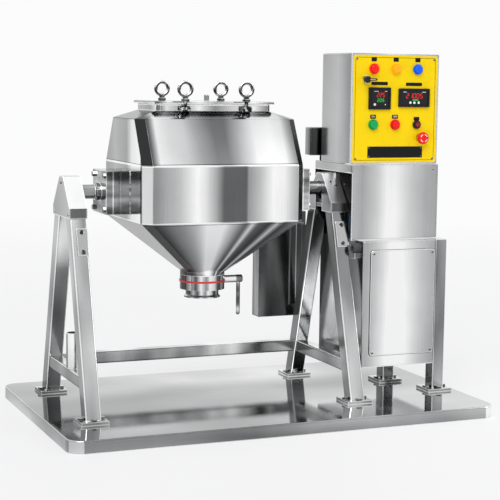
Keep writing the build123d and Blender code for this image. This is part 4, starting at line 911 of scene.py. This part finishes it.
# The operator's panel, in mm
TO_OPERATOR = (0, -1, 0)
PANEL_CORNER = 6.0
PANEL_LINE = 1.3
PANEL_LINE_INSET = 7.0
PANEL_LINE_THICKNESS = 0.25
PANEL_GAP = 1.6
PANEL_SCREW_INSET = 12
LABEL_THICKNESS = 0.8
LABEL_CORNER = 2.0
NAME_PLATE = (204, 37, 1.0)
NAME_PLATE_SHIFT = 3
NAME_PLATE_UP = 34
NAME_PLATE_SCREW_REACH = (97, 14)
# Each label's name, what it is for, its rise above that, its width and height, and its word
PANEL_LABELS = (
    ("label_red_lamp", "red_lamp", 17, (19, 14), None),
    ("label_amber_lamp", "amber_lamp", 17, (19, 14), None),
    ("label_blue_lamp", "blue_lamp", 17, (19, 14), None),
    ("label_speed", "speed_meter", 13, (60, 11), None),
    ("label_timer", "batch_timer", 14, (60, 11), None),
    ("label_start", "start_button", 12, (21, 13), "ON"),
    ("label_stop", "stop_button", 12, (22, 13), "OFF"),
    ("label_reset", "reset_button", 12, (21, 12), None),
)


def panel_pieces():
    """Labels, lines, painted shade in the gap round the plate, and screws on the operator's panel."""
    low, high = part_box("panel_plate")
    x, y, z = (low.x + high.x) / 2, low.y, (low.z + high.z) / 2
    width, height = (high.x - low.x) / MM, (high.z - low.z) / MM
    inner = (width - 2 * PANEL_LINE_INSET, height - 2 * PANEL_LINE_INSET, PANEL_LINE_THICKNESS)
    place = front_place(x, y, z)
    border("panel_line", inner, PANEL_CORNER, PANEL_LINE, place, "base", "line_dark")
    # A dark ring of painted shade in the gap round the plate
    outer = (width + 2 * PANEL_GAP, height + 2 * PANEL_GAP, 0.6)
    behind = front_place(x, high.y, z)
    border("panel_gap", outer, PANEL_CORNER, PANEL_GAP, behind, "base", "gap_and_socket_shade")
    reach_x, reach_z = width / 2 - PANEL_SCREW_INSET, height / 2 - PANEL_SCREW_INSET
    screws("panel_screws", corner_spots(x, y, z, reach_x, reach_z), TO_OPERATOR, PANEL_SCREW, "base")

    for name, node, rise, size, text in PANEL_LABELS:
        place = front_place(middle_of(node).x, y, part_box(node)[1].z + rise * MM)
        size_in_all = (*size, LABEL_THICKNESS)
        plate(name, size_in_all, LABEL_CORNER, place, "base", "label_black")
        if text:
            raised = place @ Matrix.Translation((0, 0, (LABEL_THICKNESS + 0.02) * MM))
            words(name + "_word", text, size[1] * 0.5, raised, "base", "label_white")

    x, z = x + NAME_PLATE_SHIFT * MM, z - (height / 2 - NAME_PLATE_UP) * MM
    plate("name_plate", NAME_PLATE, 1.5, front_place(x, y, z), "base", "label_black")
    spots = corner_spots(x, y - NAME_PLATE[2] * MM, z, *NAME_PLATE_SCREW_REACH)
    screws("name_plate_screws", spots, TO_OPERATOR, NAME_PLATE_SCREW, "base")


# The meters, in mm: bars that are lit for each figure, and keys as radius and height
SEGMENTS = {"0": "abcdef", "1": "bc", "2": "abged", "5": "afgcd"}
FIGURE_SLANT = 0.1
MARK_DEPTH = 0.12
SCREEN_SINK = 3.0
SCREEN_THICKNESS = 0.6
SCREEN_CORNER = 2.0
BROAD_KEY = [(4.2, 0), (4.2, 0.9), (3.6, 1.3), (1.0, 1.4)]
SMALL_KEY = [(2.0, 0), (2.0, 0.6), (1.6, 0.9), (0.5, 0.9)]


def digits(name, text, size, place, finish):
    """Seven-segment figures as small bars. size is a figure's width and height."""
    wide, tall = size
    thick = wide * 0.17
    half = tall / 2
    upright = (thick, half * 0.82)
    where = {
        "a": (0, half, wide * 0.72, thick),
        "b": (wide / 2, half / 2, *upright),
        "c": (wide / 2, -half / 2, *upright),
        "d": (0, -half, wide * 0.72, thick),
        "e": (-wide / 2, -half / 2, *upright),
        "f": (-wide / 2, half / 2, *upright),
        "g": (0, 0, wide * 0.66, thick),
    }
    step = wide * 1.5
    start = -step * (len(text) - 1) / 2
    boxes = []
    for index, figure in enumerate(text):
        for segment in SEGMENTS[figure]:
            across, up, width, height = where[segment]
            boxes.append((start + index * step + across, up, width, height, FIGURE_SLANT))
    bars(name, boxes, MARK_DEPTH, place, "base", finish)


def marks(name, flat_bars, place, finish):
    """Straight bars beside one another on a meter's glass. Each is across, width and height."""
    boxes = [(across, 0, width, height, 0) for across, width, height in flat_bars]
    bars(name, boxes, MARK_DEPTH, place, "base", finish)


def meter_glass(node, name, size):
    """Lays a meter's screen, and returns a function that gives places on its glass."""
    low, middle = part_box(node)[0], middle_of(node)
    y = low.y + SCREEN_SINK * MM
    place = front_place(middle.x, y, middle.z)
    plate(name, (*size, SCREEN_THICKNESS), SCREEN_CORNER, place, "base", "screen")

    def on_glass(across, up):
        return front_place(middle.x + across * MM, y - SCREEN_THICKNESS * MM, middle.z + up * MM)

    return on_glass


def meter_pieces():
    """Screens, figures, marks and keys of the two meters."""
    glass = meter_glass("speed_meter", "speed_screen", (62, 54))
    digits("speed_reading", "225", (6.8, 13), glass(3, 11.5), "digit_red")
    digits("speed_setting", "205", (6.2, 9.5), glass(3, -6), "digit_green")
    marks("speed_marks", [(-14, 16, 1.6), (22, 8, 1.6)], glass(0, 23.5), "label_white")
    turned("speed_key", BROAD_KEY, glass(-19, -20), "base", "key_white")
    turned("speed_small_key", SMALL_KEY, glass(20, -20), "base", "key_white", sides=16)

    glass = meter_glass("batch_timer", "timer_screen", (99, 45))
    digits("timer_reading", "21005", (8.6, 15), glass(0, 6.5), "digit_red")
    marks("timer_bar", [(0, 22, 2.4)], glass(4, -7), "digit_green")
    marks("timer_marks", [(-36, 12, 1.8), (36, 14, 1.8)], glass(0, 19), "label_white")
    for number, across in ((1, -15), (2, 0), (3, 16)):
        turned(f"timer_key_{number}", BROAD_KEY, glass(across, -16), "base", "key_white")


# Rings round the controls, by inner and outer radius, and marks on them, in mm and degrees
LAMP_RING = (14.35, 17.3)
RESET_RING = (7.85, 14.3)
RING_HEIGHT = 6.0
STOP_MARK_RADII = (11.0, 13.4)
STOP_MARK_SPANS = [(20, 75), (110, 165), (200, 255), (290, 345)]
SELECTOR_MARK_SHIFT = 28
SELECTOR_MARK = (20, 1.2)
CONTROL_RINGS = (
    ("red_lamp", LAMP_RING, "lens_red"),
    ("amber_lamp", LAMP_RING, "lens_amber"),
    ("blue_lamp", LAMP_RING, "lens_blue"),
    ("start_button", LAMP_RING, "cap_green"),
    ("stop_button", LAMP_RING, "cap_red"),
    ("reset_button", RESET_RING, "lever_black"),
)


def control_pieces():
    """Marks on the emergency stop and the selector, and coloured rings round the buttons."""
    stop = middle_of("estop_button")
    place = front_place(stop.x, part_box("estop_button")[0].y, stop.z)
    spans = STOP_MARK_SPANS
    arc_strips("estop_marks", *STOP_MARK_RADII, spans, 0.2, place, "estop", "cap_red", "label_white")
    plate_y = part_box("panel_plate")[0].y
    for node, (inner, outer), finish in CONTROL_RINGS:
        middle = middle_of(node)
        place = front_place(middle.x, plate_y, middle.z)
        collar(f"{node}_ring", inner, outer, RING_HEIGHT, place, "base", finish)
    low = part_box("selector_lever")[0]
    place = front_place(low.x + SELECTOR_MARK_SHIFT * MM, low.y, middle_of("selector_lever").z)
    mark = [(0, 0, *SELECTOR_MARK, 0)]
    bars("selector_mark", mark, 0.15, place, "selector", "label_white")


# The cabinet's panel, in mm
CABINET_CORNER = 13.0
CABINET_GAP = 1.3
CABINET_GAP_LINE = 1.6
CABINET_SCREW_INSET = 11
HOUSING_SCREW_INSET = (22, 18)
# The covers, in mm. The front slope of each starts beside its flat top, and has a run and a drop
LEFT_COVER_SCREW_TOP = 22
LEFT_COVER_SCREW_BOTTOM = 12
LEFT_COVER_SCREW_REACH = 84
COVER_TOP_HALF = 20
COVER_SLOPE = (77, 96)
GUARD_SLOPE = (75, 92)
SLOPE_FACE = Vector((0, -COVER_SLOPE[1], COVER_SLOPE[0])).normalized()
# Screws on the slopes, each so far from the cover's left edge and a share of the way down
RIGHT_COVER_SPOTS = ((22, 0.3), (38, 0.42))
GUARD_SPOTS = ((9, 0.34),)


def slope_spots(node, slope, spots):
    """Places on a cover's front slope."""
    low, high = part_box(node)
    run, drop = slope
    return [
        (low.x + across * MM, AXIS_Y - (COVER_TOP_HALF + run * share) * MM, high.z - drop * share * MM)
        for across, share in spots
    ]


def sheet_pieces():
    """Painted shade in the gap round the cabinet's panel, and screws on the panel, covers and housing.
    """
    low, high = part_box("cabinet_panel")
    x, z = (low.x + high.x) / 2, (low.z + high.z) / 2
    width, height = (high.x - low.x) / MM, (high.z - low.z) / MM
    # A dark ring of painted shade in the gap round the cabinet's panel
    outer = (width + 2 * CABINET_GAP, height + 2 * CABINET_GAP, 0.5)
    behind = front_place(x, high.y, z)
    line = CABINET_GAP_LINE
    border("cabinet_panel_gap", outer, CABINET_CORNER, line, behind, "base", "gap_and_socket_shade")
    reach_x, reach_z = width / 2 - CABINET_SCREW_INSET, height / 2 - CABINET_SCREW_INSET
    spots = corner_spots(x, low.y, z, reach_x, reach_z)
    screws("cabinet_panel_screws", spots, TO_OPERATOR, CABINET_SCREW, "base")

    low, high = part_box("left_stand_cover")
    top, bottom = high.z - LEFT_COVER_SCREW_TOP * MM, low.z + LEFT_COVER_SCREW_BOTTOM * MM
    reach = LEFT_COVER_SCREW_REACH * MM
    spots = [(low.x, AXIS_Y + y, z) for y, z in ((0, top), (-reach, bottom), (reach, bottom))]
    screws("left_cover_screws", spots, (-1, 0, 0), LEFT_COVER_SCREW, "base", "bolt_steel")
    spots = slope_spots("right_stand_cover", COVER_SLOPE, RIGHT_COVER_SPOTS)
    screws("right_cover_screws", spots, SLOPE_FACE, RIGHT_COVER_SCREW, "base", "bolt_steel", WIDE_SOCKET)
    spots = slope_spots("coupling_guard", GUARD_SLOPE, GUARD_SPOTS)
    screws("guard_screws", spots, SLOPE_FACE, GUARD_SCREW, "base", "bolt_steel", WIDE_SOCKET)

    low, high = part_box("drive_housing")
    from_right, from_top = HOUSING_SCREW_INSET
    spots = [(high.x - from_right * MM, low.y, high.z - from_top * MM)]
    screws("housing_screws", spots, TO_OPERATOR, HOUSING_SCREW, "base")


# The stands' legs: their lean, and the depth of a leaning tube when it is measured level
LEG_LEAN = radians(16.0)
LEG_DEPTH = 52.0 * MM
# Access plates on the front legs, in mm, with their middles this far below the shaft's axis
LEG_PLATE_DROP = 147
LEG_PLATE_HEIGHT = 86
LEG_PLATE_THICKNESS = 5
LEG_PLATE_CORNER = 3.0
LEG_PLATE_SCREW_REACH = 31
# Each plate's start from its leg's left side, and its width
LEG_PLATES = {"left": (15.0, 35.0), "right": (7.0, 43.0)}


def leg_plates():
    """Bare access plates on the front legs, each held by two screws."""
    face = Vector((0, -cos(LEG_LEAN), sin(LEG_LEAN)))
    up = Vector((0, sin(LEG_LEAN), cos(LEG_LEAN)))
    turn = Matrix((Vector((1, 0, 0)), up, face)).transposed().to_4x4()
    for side, (start, width) in LEG_PLATES.items():
        name = f"{side}_leg_plate"
        low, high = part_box(f"{side}_front_leg")
        drop = high.z - (AXIS_Z - LEG_PLATE_DROP * MM)
        front = high.y - LEG_DEPTH - drop * tan(LEG_LEAN)
        centre = Vector((low.x + (start + width / 2) * MM, front, high.z - drop))
        size = (width, LEG_PLATE_HEIGHT, LEG_PLATE_THICKNESS)
        place = Matrix.Translation(centre) @ turn
        plate(name, size, LEG_PLATE_CORNER, place, "base", "sheet_steel", edge=0.8)
        middle = centre + face * LEG_PLATE_THICKNESS * MM
        spots = [tuple(middle + up * way * LEG_PLATE_SCREW_REACH * MM) for way in (-1, 1)]
        screws(f"{name}_screws", spots, face, LEG_PLATE_SCREW, "base", "bolt_steel", WIDE_SOCKET)


def welds():
    """Beads where pieces are welded to one another."""
    low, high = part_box("hub_blocks")
    y, z = (low.y + high.y) / 2, (low.z + high.z) / 2
    half_y, half_z = (high.y - low.y) / 2, (high.z - low.z) / 2
    for side, x in (("left", VESSEL_LOW.x), ("right", VESSEL_HIGH.x)):
        path = [(x, y + i * half_y, z + j * half_z) for i, j in CORNERS]
        weld(f"{side}_hub_weld", path, "vessel", "vessel_steel", HUB_BEAD)
    for side in ("left", "right"):
        for end in ("front", "rear"):
            low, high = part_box(f"{side}_{end}_leg")
            y0 = low.y if end == "front" else high.y - LEG_DEPTH
            y1 = y0 + LEG_DEPTH
            path = [(low.x, y0, low.z), (high.x, y0, low.z), (high.x, y1, low.z), (low.x, y1, low.z)]
            weld(f"{side}_{end}_foot_weld", path, "base", "frame_steel", FOOT_BEAD)
    # The socket is nearly as wide as the tube it stands on, so its bead runs along its rear only
    low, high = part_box("rail_socket")
    x, y, radius = (low.x + high.x) / 2, (low.y + high.y) / 2, (high.x - low.x) / 2
    turns = [radians(angle) for angle in range(45, 136, 15)]
    arc = [(x + radius * cos(t), y + radius * sin(t), low.z) for t in turns]
    weld("socket_weld", arc, "base", "frame_steel", SOCKET_BEAD, closed=False)


panel_pieces()
meter_pieces()
control_pieces()
sheet_pieces()
leg_plates()
welds()


# Studio: camera, floor, soft lights
BACKGROUND_COLOUR = (0.97, 0.97, 0.975)
WORLD_COLOUR = (0.82, 0.84, 0.87)
WORLD_LIGHT = 0.45
FLOOR_REACH = 60.0
# The floor's white share near the machine. From 2 m away it grows, and 5 m further on it is whole
FLOOR_WHITE_SHARE = 0.68
FADE_START = 2.0
FADE_PER_METRE = 0.2


def make_camera():
    """The camera at the photograph's place, with its small shift."""
    forward = Vector(
        (sin(CAMERA_YAW) * cos(CAMERA_PITCH), cos(CAMERA_YAW) * cos(CAMERA_PITCH), -sin(CAMERA_PITCH))
    )
    level_right = Vector((cos(CAMERA_YAW), -sin(CAMERA_YAW), 0.0))
    level_up = level_right.cross(forward)
    right = level_right * cos(CAMERA_ROLL) + level_up * sin(CAMERA_ROLL)
    up = level_up * cos(CAMERA_ROLL) - level_right * sin(CAMERA_ROLL)
    camera = linked("camera", bpy.data.cameras.new("camera"))
    turn = Matrix((right, up, -forward)).transposed().to_4x4()
    camera.matrix_world = Matrix.Translation(CAMERA_PLACE) @ turn
    camera.data.sensor_width = SENSOR_MM
    camera.data.lens = FOCAL_PIXELS / PICTURE_PIXELS * SENSOR_MM
    camera.data.shift_x = -CENTRE_RIGHT_PIXELS / PICTURE_PIXELS
    camera.data.shift_y = CENTRE_DOWN_PIXELS / PICTURE_PIXELS
    camera.data.clip_end = 100.0
    bpy.context.scene.camera = camera


def make_floor():
    """A wide pale floor that keeps the machine's shadow and fades into the background."""
    mesh = bpy.data.meshes.new("floor")
    corners = [(i * FLOOR_REACH, j * FLOOR_REACH, 0) for i, j in CORNERS]
    mesh.from_pydata(corners, [], [(0, 1, 2, 3)])
    floor = linked("floor", mesh)
    finish = Finish("floor_paint")
    clouds = finish.noise(finish.place(), 0.8, 2.0, 0.5)
    finish.set(
        Base_Color=finish.ramp(clouds, (0.3, (0.84, 0.84, 0.85)), (0.7, (0.88, 0.88, 0.88))),
        Roughness=0.5,
    )
    white = finish.node("ShaderNodeEmission", {}, BACKGROUND_COLOUR, 1.0)
    x, y, _ = finish.axes()
    distance = finish.node("ShaderNodeMath", {"operation": "SQRT"}, x * x + y * y)
    far = ((distance - FADE_START) * FADE_PER_METRE).clamp()
    share = finish.seen_directly() * (far * (1 - FLOOR_WHITE_SHARE) + FLOOR_WHITE_SHARE)
    mix = finish.node("ShaderNodeMixShader", {}, share, finish.shader, white)
    finish.feed(finish.end.inputs[0], mix)
    mesh.materials.append(finish.material)


def make_world():
    """Even light from all round; what the camera and the metal see of it is white."""
    world = bpy.data.worlds.new("studio")
    bpy.context.scene.world = world
    shading = Shading(world)
    plain = shading.node("ShaderNodeBackground", {}, WORLD_COLOUR, WORLD_LIGHT)
    white = shading.node("ShaderNodeBackground", {}, BACKGROUND_COLOUR, 1.0)
    mix = shading.node("ShaderNodeMixShader", {}, shading.seen_directly(), plain, white)
    shading.node("ShaderNodeOutputWorld", {}, mix)


def make_sun(name, direction, angle, power):
    """An even, soft-edged light over the whole floor."""
    data = bpy.data.lights.new(name, "SUN")
    data.energy = power
    data.angle = radians(angle)
    lamp = linked(name, data)
    lamp.rotation_euler = Vector(direction).to_track_quat("-Z", "Y").to_euler()


def make_light(name, place, target, size, power, mirrored=True):
    """A soft rectangular lamp aimed at a point. One that isn't mirrored lights only what is matt."""
    data = bpy.data.lights.new(name, "AREA")
    data.shape = "RECTANGLE"
    data.size, data.size_y = size
    data.energy = power
    lamp = linked(name, data)
    lamp.location = place
    lamp.visible_glossy = mirrored
    aim = Vector(target) - Vector(place)
    lamp.rotation_euler = aim.to_track_quat("-Z", "Y").to_euler()


make_camera()
make_floor()
make_world()
make_sun("key_light", (0.5, 0.8, -1.0), 40.0, 1.7)
make_light("side_light", (3.2, -2.0, 2.2), (0.2, 0.0, 0.6), (1.2, 2.2), 25.0)
make_light("top_light", (1.0, -0.3, 3.2), (0.1, 0.0, 0.6), (3.0, 2.4), 8.0)
make_light("low_light", (-2.6, -2.2, 0.3), (-0.15, 0.0, 0.5), (1.6, 0.5), 22.0, mirrored=False)

bpy.context.scene.view_settings.view_transform = "Standard"
